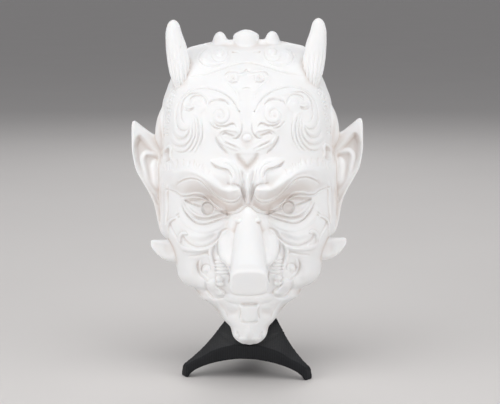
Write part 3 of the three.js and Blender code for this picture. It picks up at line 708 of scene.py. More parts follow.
grooveLines = {
    "scrollOuter": (1.7, -1.3, [
        (4.6, 139.6), (6.3, 142.8), (9.2, 147.1), (13.4, 150.5), (19.4, 153.1), (25.9, 154.2),
        (32.6, 153), (37.3, 150), (40.6, 146.3), (42.3, 141.6), (42.9, 136.2), (42.3, 132), (40.3, 129.1),
        (37.1, 128.6), (34.4, 130.8)]),
    "scrollDot": (2.2, -1.4, [(4.4, 140.2), (4.8, 139.4)]),
    "hookTop": (1.7, -0.9, [
        (34.4, 145.8), (32.9, 148.2), (30.2, 149.4), (27.5, 149.4), (25.4, 148), (24.3, 145.6),
        (23.6, 142.6)]),
    "beakUnder": (1.8, -0.8, [(37.3, 141.2), (34.8, 140.2), (31.6, 141.8)]),
    "beakSlot": (1.2, -0.8, [(38.3, 143.6), (39, 139.6)]),
    "spiralTop": (2.2, -1.3, [(23.2, 143.6), (21.6, 145.7), (17.6, 146.7), (13.4, 146.1), (10.3, 143.6)]),
    "spiralTurn": (1.4, -0.5, spiral(16.3, 137.4, 6.4, 1.6, 1.25, 150)),
    "spiralPit": (1.6, -0.5, [(17.2, 136.7), (15.6, 136.4)]),
    "spiralUnder": (1.5, -1.1, [(22.5, 133.4), (20.3, 130.5), (17.3, 129.4), (14.6, 129.9)]),
    "spiralBase": (1.9, -1.3, [
        (20.1, 133.1), (17.3, 131.1), (13.1, 130.7), (10, 131.9), (8.2, 132.1), (6.4, 130.4)]),
    "leafIn": (2.0, -1.1, [(14.9, 125.6), (13.1, 126.6), (10.7, 125.6), (7.5, 124.7)]),
    "leafOut": (1.5, -1.1, [(3.1, 132.4), (3.1, 128.4), (4.4, 125.4), (6.6, 123.4), (9.1, 123.7)]),
    "calyxSide": (2.4, -1.1, [(18.8, 124.4), (17.4, 121), (14.6, 117.2), (11.6, 114.2)]),
    "calyxIn": (1.3, -0.6, [(14.4, 121.6), (10.2, 119.6), (6.2, 117.6)]),
    "templeTwo": (1.5, -0.7, [
        (44.9, 127.8), (43.1, 124.6), (40.5, 123.2), (37.8, 123.8), (35.3, 126.6), (34.1, 130.5)]),
    "templeThree": (1.5, -0.7, [
        (46.5, 123), (44.4, 120.3), (41.1, 118.9), (37.8, 119.2), (34.8, 121.8), (32.9, 125.4),
        (32.6, 129.6), (33.3, 135)]),
    "templeFour": (1.5, -0.7, [
        (43.8, 116.4), (40.3, 115.2), (36.4, 116.4), (33.6, 119.4), (31.8, 123), (30.8, 127.2),
        (31, 131.4), (32, 136)]),
    "templeFive": (1.5, -0.7, [
        (34.6, 115), (31.7, 118.2), (29.8, 122.4), (28.9, 127.2), (29.1, 132), (30.6, 136.8)]),
    "templeSix": (1.5, -0.7, [(30.3, 116.6), (28.2, 120.6), (26.9, 124.8), (26.7, 130), (27.4, 134)]),
    "crownBand": (1.5, -1.1, [
        (34, 161), (25.8, 162), (19.8, 163.6), (14.4, 165.4), (8.4, 167.5), (0, 168.9)]),
    "studUnder": (1.6, -0.6, spiral(15.9, 175, 5.2, 5.2, 0.55, -190)),
    "crownArc": (1.8, -1.0, [
        (23.6, 177.4), (27, 175.4), (28.4, 172.2), (26.9, 169.2), (22.8, 167.4), (18, 167.2),
        (12.6, 169.4)]),
    "crownMark": (1.2, -0.8, [(8.4, 175.2), (4, 175.2)]),
    "crownSide": (1.2, -0.6, [(24.4, 180), (20.6, 181.4), (19.2, 184.6)]),
    "smallBrow": (1.4, -1.0, [
        (13.4, 161.2), (11.2, 163.1), (7.8, 163.6), (3.6, 163), (1.2, 163.8), (0, 164.8)]),
    "smallEyePit": (1.4, -1.0, [(8.2, 159.7), (7.6, 159.5)]),
    "smallEyeUnder": (1.4, -0.8, [(10.8, 158.4), (8.5, 157), (5, 157.3)]),
    "smallCheek": (1.2, -0.45, [(12.3, 157.4), (9.1, 154.5), (6.8, 151.5), (5.2, 147.4)]),
    "smallNose": (1.0, -0.7, [(2.8, 153.2), (0, 153.7)]),
    "knobTop": (1.6, -0.6, [(13, 96.6), (10.4, 96.2)]),
    "leafUnder": (1.9, -1.4, [
        (22, 109.3), (19.4, 106.8), (15.5, 105.3), (11.9, 104.2), (10, 101.6), (9.4, 99.2)]),
    "leafLine": (1.3, -0.7, [(15.4, 109.2), (11, 108), (8.4, 105.6), (7.3, 102), (7.1, 98.6)]),
    "frownLine": (1.5, -1.1, [(8.8, 96.2), (6.6, 95.4), (4.8, 94.4), (3.6, 92), (2.6, 88.4), (1.4, 84.8)]),
    "irisRing": (1.5, -2.1, spiral(24.4, 81.7, 3.4, 3.4, 1, 0)),
    "slitOuter": (1.7, -1.7, [(38, 86.3), (35.4, 85.4), (32, 84), (28, 82.8)]),
    "slitInner": (1.8, -1.1, [(21.2, 80.9), (17.4, 80.3), (13.8, 79.5), (12.2, 79.1)]),
    "lidEdge": (1.1, -0.8, [(36, 85.9), (32.6, 86.3), (28.4, 86.6), (24.6, 86.2), (21.2, 84), (18, 81.8)]),
    "lowerOne": (1.0, -0.9, [
        (38.6, 85.2), (36.2, 81.2), (33.4, 78), (30.2, 76), (26.4, 75.4), (21.6, 76), (16.6, 77.2),
        (14, 77.8)]),
    "lowerTwo": (1.2, -1.1, [
        (40, 84.6), (37.6, 79.6), (34.4, 75.6), (30.6, 72.9), (26.4, 72.2), (21.6, 73.2), (16.8, 74.8),
        (11.6, 77)]),
    "eyeBag": (3.4, -1.8, [
        (38.9, 65), (37.6, 62.4), (34.6, 60.2), (30.6, 58.9), (26.4, 59.2), (22.2, 60.8), (18.6, 63.4),
        (15.6, 67.4)]),
    "cheekUnder": (2.4, -0.9, [(36.5, 53), (31, 53.4), (25.6, 54.6), (23.3, 53)]),
    "outerCurl": (1.8, -1.4, [(46.7, 73), (46.3, 70.4), (44.9, 67.4), (42.9, 64), (41.4, 61)]),
    "dotUnder": (1.3, -0.9, [(42.4, 76.4), (41, 77)]),
    "spiralRound": (1.2, -0.9, spiral(25.5, 45.4, 2.8, 2.8, 0.8, -60)),
    "tubeShadow": (1.6, -1.2, [(12.2, 44), (11.6, 40), (12.2, 36.4)]),
    "pearlRound": (1.1, -0.5, [(19.8, 41.6), (20, 38.8)]),
    "fangUnder": (2.0, -1.2, [(26.4, 38.4), (25.6, 33.4), (22.8, 29.4), (19, 27.4), (15.2, 28)]),
    "cheekLeaf": (1.8, -1.0, [(29.8, 50.6), (30.6, 46.6), (29, 42), (26.2, 38.8), (23.6, 37.6)]),
    "upperLip": (2.2, -0.8, [(11, 31), (8, 29.8), (4.9, 29.2), (0, 29)]),
    "mouthDark": (2.8, -1.3, [(5.4, 24.2), (2.6, 24.1), (0, 24.1)]),
    "underTongue": (2.6, -1.3, [(5, 13.6), (2.4, 12.7), (0, 12.5)]),
    "tongueSide": (1.4, -0.9, [(5.7, 22.4), (5.4, 19), (5.8, 15.2)]),
    "chinPit": (2.4, -1.0, [(7.6, 7.6), (6.5, 5.4), (6.2, 3.6)]),
    "jaw": (2.2, -0.9, [(29.2, 29.2), (24.7, 24.6), (21, 20.6), (17, 16)]),
    "browFold": (1.1, -0.8, beside(browLines["fold"][2:], 1.1)),
    "browHem": (1.6, -1.2, beside(browLines["hem"][:-1], 1.25)),
    "noseRoot": (2.4, -2.2, [(9, 78.6), (6.2, 79.4), (3.6, 81.2), (1.8, 82.8), (0, 83.4)]),
    "foldOuter": (1.4, -1.3, [(49.9, 98.6), (50.3, 91), (50.5, 83), (50.4, 75), (50, 68.4)]),
    "foldInner": (1.4, -0.9, [(47.7, 95), (47.9, 89), (48, 83), (48.5, 77), (48.9, 71.8)]),
    "flame": (1.8, -1.1, [(48.2, 116), (48, 112.6), (47, 110)]),
    "scrollInner": (1.0, -0.75, [
        (26, 150.4), (30, 150.7), (33.5, 150.4), (36.8, 148), (38.7, 144), (39.3, 139), (38.6, 134.6),
        (36.4, 132)]),
    "wingRound": (3.2, -1.3, [
        (12.4, 69.6), (15.6, 68), (17.9, 64), (18.3, 59), (17, 54), (14.8, 49.6), (12.8, 45.6)]),
    "slitEnd": (1.8, -1.8, [(38, 86.4), (36.8, 86), (35.4, 85.5)]),
}

raised = np.zeros_like(forms)
sunk = np.zeros_like(forms)
for width, rise, points in ridgeLines.values():
    stroke(raised, points, width, rise, "roll")
for width, rise, points in grooveLines.values():
    stroke(sunk, points, width, rise)
plateau(sunk, flameHollow, -3, 1.4)

iris = {"across": 24.4, "up": 81.7, "reach": 3.0, "edge": 0.8, "depth": 1.2, "slope": 0.26}
irisDisc = np.zeros_like(forms)
plateau(irisDisc, spiral(iris["across"], iris["up"], iris["reach"], iris["reach"], 1, 0), 1, iris["edge"])
sunk += irisDisc * (iris["slope"] * (upCells - iris["up"]) - iris["depth"])[:, None]

wrinkles = {"from": (20, 50.6), "to": (19.6, 42.2), "run": 7.4, "count": 5, "width": 1.3, "rise": -0.9}
for place in np.linspace(0, 1, wrinkles["count"]):
    x, z = np.array(wrinkles["from"]) * (1 - place) + np.array(wrinkles["to"]) * place
    arc = [(x, z), (x - 0.5 * wrinkles["run"], z - 0.4), (x - wrinkles["run"], z + 0.3)]
    stroke(sunk, arc, wrinkles["width"], wrinkles["rise"], ends="none")

# Brow hairs along the top of the brow, and small curls down the temple.
tufts = {
    "path": [(50.6, 104.6), (45, 107.6), (37, 108.8), (29, 106.6), (24, 103.6)],
    "count": 19, "length": 5.4, "width": 1.2, "rise": -0.85, "jitter": 0.8, "lean": 2.2, "seed": 11,
}
tuftLine = smoothPath(tufts["path"], 0.5)
chance = np.random.default_rng(tufts["seed"])
jitter = tufts["jitter"]
for place in np.linspace(0, 1, tufts["count"]):
    foot = tuftLine[int(place * (len(tuftLine) - 1))] + chance.uniform(-jitter, jitter, 2)
    lean = tufts["lean"] * (0.6 - place) + chance.uniform(-jitter, jitter)
    reach = tufts["length"] * chance.uniform(0.6, 1.1) * (1.1 - 0.5 * place)
    hair = [foot + [0.4, -0.5 * reach], foot + [0.3 * lean, 0.2 * reach], foot + [lean, 0.6 * reach]]
    stroke(sunk, hair, tufts["width"], tufts["rise"] * (1 - 0.6 * place))

temple = {
    "path": [(43.2, 152.6), (45.8, 147.4), (47.4, 141), (48.2, 134), (48.4, 126)],
    "step": 4.2, "size": 1.8, "turns": 1.2, "width": 1.2, "rise": -0.8, "jitter": 0.6,
}
for across, up in smoothPath(temple["path"], temple["step"]):
    start = chance.uniform(0, 360)
    middle = across + chance.uniform(-temple["jitter"], temple["jitter"])
    curl = spiral(middle, up, temple["size"], 0.5, temple["turns"], start)
    stroke(sunk, curl, temple["width"], temple["rise"])

# Small knobs: across, up, reach across, reach up, rise.
lineDomes = {
    "noseBump": (5.8, 74.4, 2.1, 2.1, 1.6),
    "pearlSmall": (3.2, 2.6, 2.0, 1.8, 0.8),
    "centreBoss": (0, 123.5, 2.2, 2.1, 0.9),
    "crownStud": (15.9, 175, 2.4, 2.2, 1.5),
    "scallopOuter": (8.8, 5, 2.6, 3.0, 1.0),
    "scallopInner": (3.6, 2.2, 2.6, 2.2, 1.0),
    "hookHeart": (28.8, 144.8, 2.2, 2.0, 0.4),
}
for bulge in lineDomes.values():
    dome(raised, *bulge)
stroke(sunk, spiral(0, 123.5, 2.9, 2.9, 0.5, -90), 1.2, -0.4, ends="none")

earLines = {
    "hollow": [
        (65, 125), (67.2, 120.6), (67.4, 116.4), (66.4, 110), (63.8, 103.4), (60, 96.8), (56.2, 90.8),
        (53, 85), (49, 88), (48, 108), (52, 111.6), (54.6, 115), (58.6, 119.4), (62.4, 123.6)],
    "roll": [
        (51.6, 112.6), (54.6, 114), (58, 115.2), (61.4, 114.8), (62.9, 111.6), (62.2, 107), (60.6, 101),
        (57.4, 94.8), (53.6, 89)],
    "start": (53, 54.4),
}
earHollow, earRoll, spike = [np.zeros_like(forms) for _ in range(3)]
plateau(earHollow, earLines["hollow"], -2.6, 4.0)
stroke(earRoll, earLines["roll"], 5.0, 1.1)
dome(spike, 0, 93, 1.5, 10.2, 3.0, kind="keel")
lines = blurred(raised * np.clip(1 + sunk / 0.8, 0, 1) + sunk, 1) + spike
lines += (earHollow + earRoll) * ramp(*earLines["start"], acrossCells)
print("lines drawn")


def shellDepth(x, z):
    half = halfWidth(z)
    share = np.clip(np.abs(x) / np.maximum(half, 0.5), 0, 0.985)
    power = roundness(z)
    bulge = (1 - share ** power) ** (1 / power)
    base = rimDepth(z) + (frontDepth(z) - rimDepth(z)) * bulge
    across, up = onDrawing(x, -base, z)
    return base + (1 - share ** shell["rimPower"]) * (swellAt(x, z) + readLayer(forms, across, up))


def onFace(across, up):  # where the front drawing's point lies on the face, and the normal there
    depth = drawing["depth"]
    for _ in range(5):
        shrink = (drawing["distance"] + drawing["depth"] - depth) / drawing["distance"]
        x, z = across * shrink, drawing["sightLine"] + (up - drawing["sightLine"]) * shrink
        depth = float(shellDepth(x, z))
    gainAcross = shellDepth(x + 1, z) - shellDepth(x - 1, z)
    gainUp = shellDepth(x, z + 1) - shellDepth(x, z - 1)
    normal = np.array([-gainAcross, -2, -gainUp], float)
    return np.array([x, -depth, z]), normal / np.linalg.norm(normal)


def shellSurface(name, rows, columns, low, high, inset, withForms):
    even = np.linspace(0, 1, rows + 1)
    z = low + (high - low) * (even + (1 - np.cos(np.pi * even)) / 2) / 2
    angle = np.linspace(-0.5, 0.5, columns + 1) * math.pi
    power = roundness(z)[:, None]
    share = np.abs(np.sin(angle))[None, :] ** (2 / power)
    bulge = np.abs(np.cos(angle))[None, :] ** (2 / power)
    half = np.maximum(halfWidth(z) - inset, 0.5 if inset else 0)[:, None]
    x = np.sign(angle)[None, :] * share * half
    front = (frontDepth(z) - shell["frontWall"] * inset)[:, None]
    back = rimDepth(z)[:, None] if not inset else np.full((rows + 1, 1), -float(shell["behindRim"]))
    depth = back + (np.maximum(front, back + 0.5) - back) * bulge
    zGrid = np.broadcast_to(z[:, None], x.shape)
    across, up = onDrawing(x, -depth, zGrid)
    raisedBy = swellAt(x, zGrid) + readLayer(forms, across, up)
    inward = 1 - share ** shell["rimPower"]
    depth = depth + inward * (raisedBy if withForms else np.minimum(raisedBy, 0))
    return loft(name, np.stack([x, -depth, zGrid], -1))


# How far the face lies below its own wide average: the eye sockets and the hollows of the cheeks, where
# shade is painted into the white.
hollows = {"coarse": 5, "passes": 160, "fromMm": 0.3, "fullMm": 2.4, "share": 0.9}
coarse = hollows["coarse"]
openFace = shellDepth(*np.meshgrid(acrossCells[::coarse], upCells[::coarse]))
mirrored = np.hstack([openFace[:, :0:-1], openFace])
deepness = (blurred(mirrored, hollows["passes"]) - mirrored)[:, len(acrossCells[::coarse]) - 1:]
deepness = hollows["share"] * np.clip((deepness - hollows["fromMm"]) / hollows["fullMm"], 0, 1)
deepness = np.repeat(np.repeat(deepness, coarse, 0), coarse, 1)[:len(upCells), :len(acrossCells)]


# Parts that stand out from the shell

def tube(name, points, radii):  # closed tapered tube along a smooth line
    line = smoothPath(points, 0.8)
    share = np.linspace(0, 1, len(line))
    radius = profile(*zip(np.linspace(0, 1, len(radii)), radii))(share)
    along = unitAlong(line)
    side = np.cross(along, [0, 1, 0])
    side /= np.maximum(np.linalg.norm(side, axis=1), 1e-6)[:, None]
    up = np.cross(side, along)
    angles = fullTurn(20)[None, :, None]
    spokes = np.cos(angles) * side[:, None, :] + np.sin(angles) * up[:, None, :]
    return loft(name, line[:, None, :] + radius[:, None, None] * spokes)


def ellipsoid(name, centre, reach):
    angles = fullTurn(24)
    rings = []
    for height in np.cos(np.linspace(math.pi, 0, 16)[1:-1]):
        width = math.sqrt(1 - height * height)
        level = np.full(len(angles), height)
        rings.append(np.column_stack([width * np.cos(angles), level, width * np.sin(angles)]))
    return loft(name, np.array(rings) * np.array(reach) + np.array(centre))


horn = {
    "root": 152, "tip": 198.4, "fineFrom": 194, "rows": 50, "fineRows": 10, "flutes": 14, "corners": 112,
    "centre": [(152, 39), (161, 40.6), (173, 42), (184, 43.6), (192, 44.8), (198.4, 44.8)],
    "radius": [(152, 3.4), (157, 4.6), (165, 6.4), (173, 7), (181, 6.6), (188, 5.5), (192, 4.7),
               (195.6, 3.6), (197.4, 2.2), (198.4, 0.6)],
    "depth": [(152, 25), (161, 25.5), (175, 24), (198.4, 26)],
    "fluteDepth": [(152, 0.2), (166, 0.16), (180, 0.03), (184, 0)],
}


def makeHorn(side):
    centre, radius, depth, fluteDepth = [
        profile(*horn[key]) for key in ("centre", "radius", "depth", "fluteDepth")]
    angles = fullTurn(horn["corners"])
    wave = 0.5 - 0.5 * np.cos(horn["flutes"] * angles)
    rings = []
    low = np.linspace(horn["root"], horn["fineFrom"], horn["rows"])
    high = np.linspace(horn["fineFrom"] + 0.4, horn["tip"], horn["fineRows"])
    for z in np.concatenate([low, high]):
        reach = radius(z) * (1 - fluteDepth(z) * wave ** 2)
        rings.append(np.column_stack([
            side * (centre(z) + reach * np.cos(angles)), -depth(z) + reach * np.sin(angles),
            np.full(len(angles), z)]))
    return loft("horn", rings)


ear = {
    "outline": [
        (71.3, 137.9), (72.8, 136.4), (73.2, 133), (73.2, 126), (73, 118), (70.7, 106.5), (67, 99.4),
        (62.8, 92), (59.8, 85.5), (58.2, 79), (57, 72), (55, 66), (51, 62.5), (48, 66), (47, 78),
        (49, 100), (49, 127), (58.4, 128.6), (64.5, 132.6)],
    "heart": (60, 112),
    "rings": [  # scale about the heart, and depth: back, edge, front
        (0.4, 0.5), (0.9, 0.6), (0.97, 1.4), (1.0, 3.4), (1.0, 7.6), (0.988, 9), (0.965, 9.9), (0.94, 10.1),
        (0.6, 10.1), (0.3, 10.1)],
}
# Rolls that join the ear and the hair to the head: line, radii.
sideRolls = {
    "earLobe": ([(57, -6.6, 115), (58.2, -7.4, 109), (57.4, -7.6, 101), (55, -7.2, 93), (53, -6.6, 87)],
                [2.6, 4.6, 4.6, 3.4, 1.6]),
    "foldOuter": ([(52.6, -11, 114), (53.2, -12, 104), (53.2, -12.4, 92), (52.8, -12.4, 80), (51, -13, 68),
                   (47.6, -14, 60)], [1.4, 2.4, 2.8, 2.8, 2.6, 1.6]),
    "hairMass": ([(43.6, -12, 154), (47.4, -12.5, 145), (50.4, -12, 136), (51.4, -11, 128), (49, -10, 118)],
                 [3.4, 5.6, 6.6, 6.6, 5]),
}


def makeEar(side):
    outline = smoothPath(ear["outline"], 1.2, closed=True)
    heart = np.array(ear["heart"])
    rings = []
    for scale, depth in ear["rings"]:
        flat = heart + (outline - heart) * scale
        rings.append(np.column_stack([side * flat[:, 0], np.full(len(flat), -depth), flat[:, 1]]))
    rolls = [tube(name, np.array(line) * [side, 1, 1], radii) for name, (line, radii) in sideRolls.items()]
    return [loft("ear", rings)] + rolls


# Pearls beside the nose: across, up, reach, how far each is sunk into the face.
pearls = [(17.3, 39.8, 2.2, -0.8), (16.9, 37, 2, -1), (25.6, 45.2, 2.4, 0.6)]


def makePearls(side):
    beads = []
    for across, up, reach, sink in pearls:
        place, normal = onFace(across, up)
        beads.append(ellipsoid("pearl", (place - sink * normal) * [side, 1, 1], (reach, reach, reach)))
    return beads


tusk = {
    "stations": [  # x, y, z, reach in y, reach in z
        (34, -13, 54, 4.4, 5), (40, -14, 54.8, 4.8, 6.4), (45, -15.6, 55, 4.9, 7.1),
        (50, -17, 55.6, 4.5, 6.9), (54, -18, 56.6, 3.8, 5.9), (57.4, -18.4, 58, 2.9, 4.4),
        (59.6, -18.6, 59.4, 2, 3), (61, -18.6, 60.2, 0.9, 1.6)],
    "scoop": 0.55, "scoopFrom": (2, 3.6),
}


def makeTusk(side):
    stations = tusk["stations"]
    knots = [profile(*zip(range(len(stations)), column)) for column in zip(*stations)]
    angles = fullTurn(36)
    front = np.clip(-np.cos(angles), 0, 1)
    rings = []
    for place in np.linspace(0, len(stations) - 1, 44):
        x, y, z, reachY, reachZ = [float(knot(place)) for knot in knots]
        scoop = tusk["scoop"] * reachY * front ** 4 * ramp(*tusk["scoopFrom"], place)
        xs = np.full(len(angles), side * x)
        rings.append(np.column_stack([
            xs, y + reachY * np.cos(angles) + scoop, z + reachZ * np.sin(angles)]))
    return loft("tusk", rings)


nose = {
    "line": [(0, -46, 79.5), (0, -57.5, 69.6), (0, -75.5, 53.2), (0, -86.5, 42.8), (0, -94.6, 39.2)],
    "across": [(0, 4.6), (0.14, 6.4), (0.3, 7.7), (0.5, 8.9), (0.75, 10.2), (0.9, 10.8), (0.96, 10.7),
               (0.985, 10.2), (1, 9.2)],
    "thick": [(0, 4.4), (0.14, 7.6), (0.3, 8.8), (0.5, 9.3), (0.75, 9.4), (0.9, 8.8), (0.96, 8.5),
              (0.985, 8), (1, 7)],
    "square": [(0, 2), (0.5, 2.3), (1, 3.8)],
    "wing": [(8.8, -55.4, 66.8), (11.5, -60.4, 61), (11.6, -67.4, 54.8), (9.4, -75.4, 48.6)],
    "wingRadii": [3, 6.2, 5.6, 2.6],
    "pearl": (5.6, 74.4, 1.7, 1.0),  # across, height, reach, rise
    "pearlBefore": -45,
}


def makeNose():
    line = smoothPath(nose["line"], 0.8)
    halfAcross, halfThick, power = [profile(*nose[key]) for key in ("across", "thick", "square")]
    upward = np.cross([1, 0, 0], unitAlong(line))
    angles = fullTurn(64)
    rings = []
    for point, up, t in zip(line, upward, np.linspace(0, 1, len(line))):
        out = halfAcross(t) * squared(np.cos(angles), power(t))
        lift = halfThick(t) * squared(np.sin(angles), power(t))
        rings.append(point + np.outer(out, [1, 0, 0]) + np.outer(lift, up))
    return loft("nose", rings)


crown = {
    "bud": {"middle": 0, "low": 176, "high": 194.2, "thick": 6.5, "outline": [
        (0, 8.2), (0.4, 7.6), (0.62, 7.8), (0.76, 7.7), (0.88, 6.2), (0.96, 3.4), (1, 1)]},
    "knob": {"middle": 16.5, "low": 179, "high": 193.3, "thick": 3.8, "outline": [
        (0, 9), (0.35, 7), (0.55, 4.9), (0.72, 4.2), (0.86, 3.3), (0.95, 1.9), (1, 0.4)]},
    "depth": 9,
    "budBalls": [((5.4, -9, 189.4), (3.1, 4.6, 2.8)), ((10.8, -8, 184), (6, 5, 3.8))],  # centre, reach
}


def makeCrest(kind, side):  # a knob of the crown
    part = crown[kind]
    outline = profile(*part["outline"])
    halfTop = outline(0.6)
    angles = fullTurn(32)
    rings = []
    for share in np.linspace(0, 1, 24):
        half = outline(share)
        level = part["low"] + (part["high"] - part["low"]) * share
        rings.append(np.column_stack([
            side * part["middle"] + half * np.cos(angles),
            -crown["depth"] + part["thick"] * min(1, half / halfTop) * np.sin(angles),
            np.full(len(angles), level)]))
    return loft(kind, rings)


# Curls of hair down the sides of the head: one tree sets a small coil at every point of a path.

curls = {
    "path": [(47.4, -12.4, 152), (51, -12.8, 144), (53.8, -12.4, 135.5), (55, -11.4, 126.5)],
    "facing": (0.75, -0.66, 0.05), "spacing": 4.6,
    "coilRadius": 2.5, "coilTurns": 1.2, "strand": 1.4, "seed": 4,
}


def namedTree(name, sockets):
    tree = bpy.data.node_groups.new(name, "GeometryNodeTree")
    tree.interface.new_socket("Geometry", in_out="INPUT", socket_type="NodeSocketGeometry")
    for label, kind in sockets.items():
        tree.interface.new_socket(label, in_out="INPUT", socket_type=kind)
    tree.interface.new_socket("Geometry", in_out="OUTPUT", socket_type="NodeSocketGeometry")
    return tree


def runTree(obj, tree, values):
    modifier = obj.modifiers.new(tree.name, "NODES")
    modifier.node_group = tree
    for item in tree.interface.items_tree:
        if item.in_out == "INPUT" and item.name in values:
            modifier[item.identifier] = values[item.name]
    return lasting(obj)


def coilTree(material):
    tree = namedTree("coilsAlongPath", {
        "Spacing": "NodeSocketFloat", "Coil Radius": "NodeSocketFloat", "Turns": "NodeSocketFloat",
        "Strand Radius": "NodeSocketFloat", "Seed": "NodeSocketInt"})
    given = addNode(tree, "NodeGroupInput").outputs
    path = addNode(tree, "GeometryNodeMeshToCurve", inputs={"Mesh": given["Geometry"]})
    spots = addNode(tree, "GeometryNodeCurveToPoints", {"mode": "LENGTH"}, {
        "Curve": path.outputs["Curve"], "Length": given["Spacing"]})
    facing = addNode(tree, "GeometryNodeInputNamedAttribute", {"data_type": "FLOAT_VECTOR"}, {
        "Name": "facing"})
    upright = addNode(tree, "FunctionNodeAlignRotationToVector", {"axis": "Z"}, {
        "Vector": facing.outputs["Attribute"]})
    spin = addNode(tree, "FunctionNodeRandomValue", {"data_type": "FLOAT"}, {
        2: -0.5, 3: 0.5, "Seed": given["Seed"]})
    spinVector = addNode(tree, "ShaderNodeCombineXYZ", inputs={"Z": spin.outputs[1]})
    spun = addNode(tree, "FunctionNodeRotateRotation", {"rotation_space": "LOCAL"}, {
        "Rotation": upright.outputs["Rotation"], "Rotate By": spinVector.outputs["Vector"]})
    coil = addNode(tree, "GeometryNodeCurveSpiral", inputs={
        "Resolution": 14, "Rotations": given["Turns"], "Start Radius": 0.4,
        "End Radius": given["Coil Radius"], "Height": 0.0})
    strand = addNode(tree, "GeometryNodeCurvePrimitiveCircle", inputs={
        "Resolution": 8, "Radius": given["Strand Radius"]})
    body = addNode(tree, "GeometryNodeCurveToMesh", inputs={
        "Curve": coil.outputs["Curve"], "Profile Curve": strand.outputs["Curve"], "Fill Caps": True})
    copies = addNode(tree, "GeometryNodeInstanceOnPoints", inputs={
        "Points": spots.outputs["Points"], "Instance": body.outputs["Mesh"],
        "Rotation": spun.outputs["Rotation"]})
    real = addNode(tree, "GeometryNodeRealizeInstances", inputs={"Geometry": copies.outputs["Instances"]})
    painted = addNode(tree, "GeometryNodeSetMaterial", inputs={
        "Geometry": real.outputs["Geometry"], "Material": material})
    addNode(tree, "NodeGroupOutput", inputs={"Geometry": painted.outputs["Geometry"]})
    return tree


def facingPath(name, side, path, facing):  # edges along the path, each point with its facing
    points = smoothPath(path, 1.0) * [side, 1, 1]
    normals = np.tile(np.array(facing) * [side, 1, 1], (len(points), 1))
    mesh = bpy.data.meshes.new(name)
    mesh.from_pydata([tuple(p) for p in points], [(i, i + 1) for i in range(len(points) - 1)], [])
    attribute = mesh.attributes.new("facing", "FLOAT_VECTOR", "POINT")
    attribute.data.foreach_set("vector", normals.astype(np.float32).ravel())
    obj = bpy.data.objects.new(name, mesh)
    bpy.context.scene.collection.objects.link(obj)
    return obj


# The mask: all of it is joined, remeshed as one skin, carved with the lines and hollowed.

mask = {
    "voxelMm": 0.35, "relaxPasses": 3, "blendPasses": 72, "sideBlend": 0.6, "triangles": 195000,
    "liftFacing": (0.12, 0.4),  # relief only where the skin faces the front
    "liftOffShell": (2.0, 4.0),  # and lies this near the shell, mm
    "earFrom": 54, "earFront": 10.1,
    "deepOffShell": (3, 5),
}
# Where joined parts are smoothed into each other: for each axis, where that begins and where it ends.
blendZones = {
    "nose": {"y": ((-51, -55), None), "pastNose": (None, (-1, 2.5)), "z": ((44, 50), (79, 83))},
    "crown": {"z": ((176, 180), None), "x": (None, (26, 29))},
    "ear": {"x": ((50, 51.5), (56.5, 58.5)), "y": ((-19, -17), (-6, -4)), "z": ((56, 62), (124, 130))},
    "hair": {"x": ((44, 47), None), "y": ((-30, -26), (-3, 0)), "z": ((116, 122), (150, 156))},
}
# Painted shade: where the white is mixed towards a darker tone, in hollows, on undersides above the cheeks
# and over the open back.
paintedShade = {
    "scales": [(10, 0.9, 1.6), (90, 1.8, 1.1)],  # smoothing passes, mm sunk that count as full painted shade, power
    "crestShare": 0.7,  # what a crest loses of its painted shade, in full at crestReach of those mm
    "crestReach": 0.6,
    "undersideShade": 0.6,  # painted shade on undersides above the cheeks, under the overhang of the brow
    "undersideFacing": (0.25, 0.65),
    "undersideHeight": (55, 75),
    "backFacing": (0.1, 0.5),
    "openBackShade": 0.15,  # the open back gets one even painted shade
}


def zoneShare(name, places):  # 1 in the zone, 0 outside it, soft between
    share = 1.0
    for axis, (begin, end) in blendZones[name].items():
        if begin:
            share = share * ramp(*begin, places[axis])
        if end:
            share = share * (1 - ramp(*end, places[axis]))
    return share


def smoothJoins(mesh):
    x, y, z = pointsOf(mesh).T
    noseReach = np.clip(6 + 0.5 * (80 - z), 6, 14)
    places = {"x": np.abs(x), "y": y, "z": z, "pastNose": np.abs(x) - noseReach}
    sides = np.maximum.reduce([zoneShare(name, places) for name in ("ear", "crown", "hair")])
    share = np.maximum(zoneShare("nose", places), mask["sideBlend"] * sides)
    relax(mesh, mask["blendPasses"], 0.6, share[:, None])


def liftRelief(mesh):
    points, normals = pointsOf(mesh), normalsOf(mesh)
    x, y, z = points.T
    offShell = np.abs(-y - shellDepth(x, z))
    offEar = np.abs(-y - mask["earFront"])
    offShell = np.where(np.abs(x) > mask["earFrom"], np.minimum(offShell, offEar), offShell)
    grip = ramp(*mask["liftFacing"], -normals[:, 1]) * (1 - ramp(*mask["liftOffShell"], offShell))
    push = 0.5 * normals + [0, -0.5, 0]
    pearlX, pearlZ, reach, rise = nose["pearl"]
    away = ((np.abs(x) - pearlX) ** 2 + (z - pearlZ) ** 2) / reach ** 2
    pearl = rise * np.sqrt(np.clip(1 - away, 0, 1)) * (y < nose["pearlBefore"])
    # x, y and z move with points, so the pearl is worked out first.
    points += push * (readLayer(lines, *onDrawing(x, y, z)) * grip)[:, None]
    points += normals * (pearl * ramp(0.1, 0.3, -normals[:, 1]))[:, None]
    setPoints(mesh, points)
    relax(mesh, 1, 0.3)


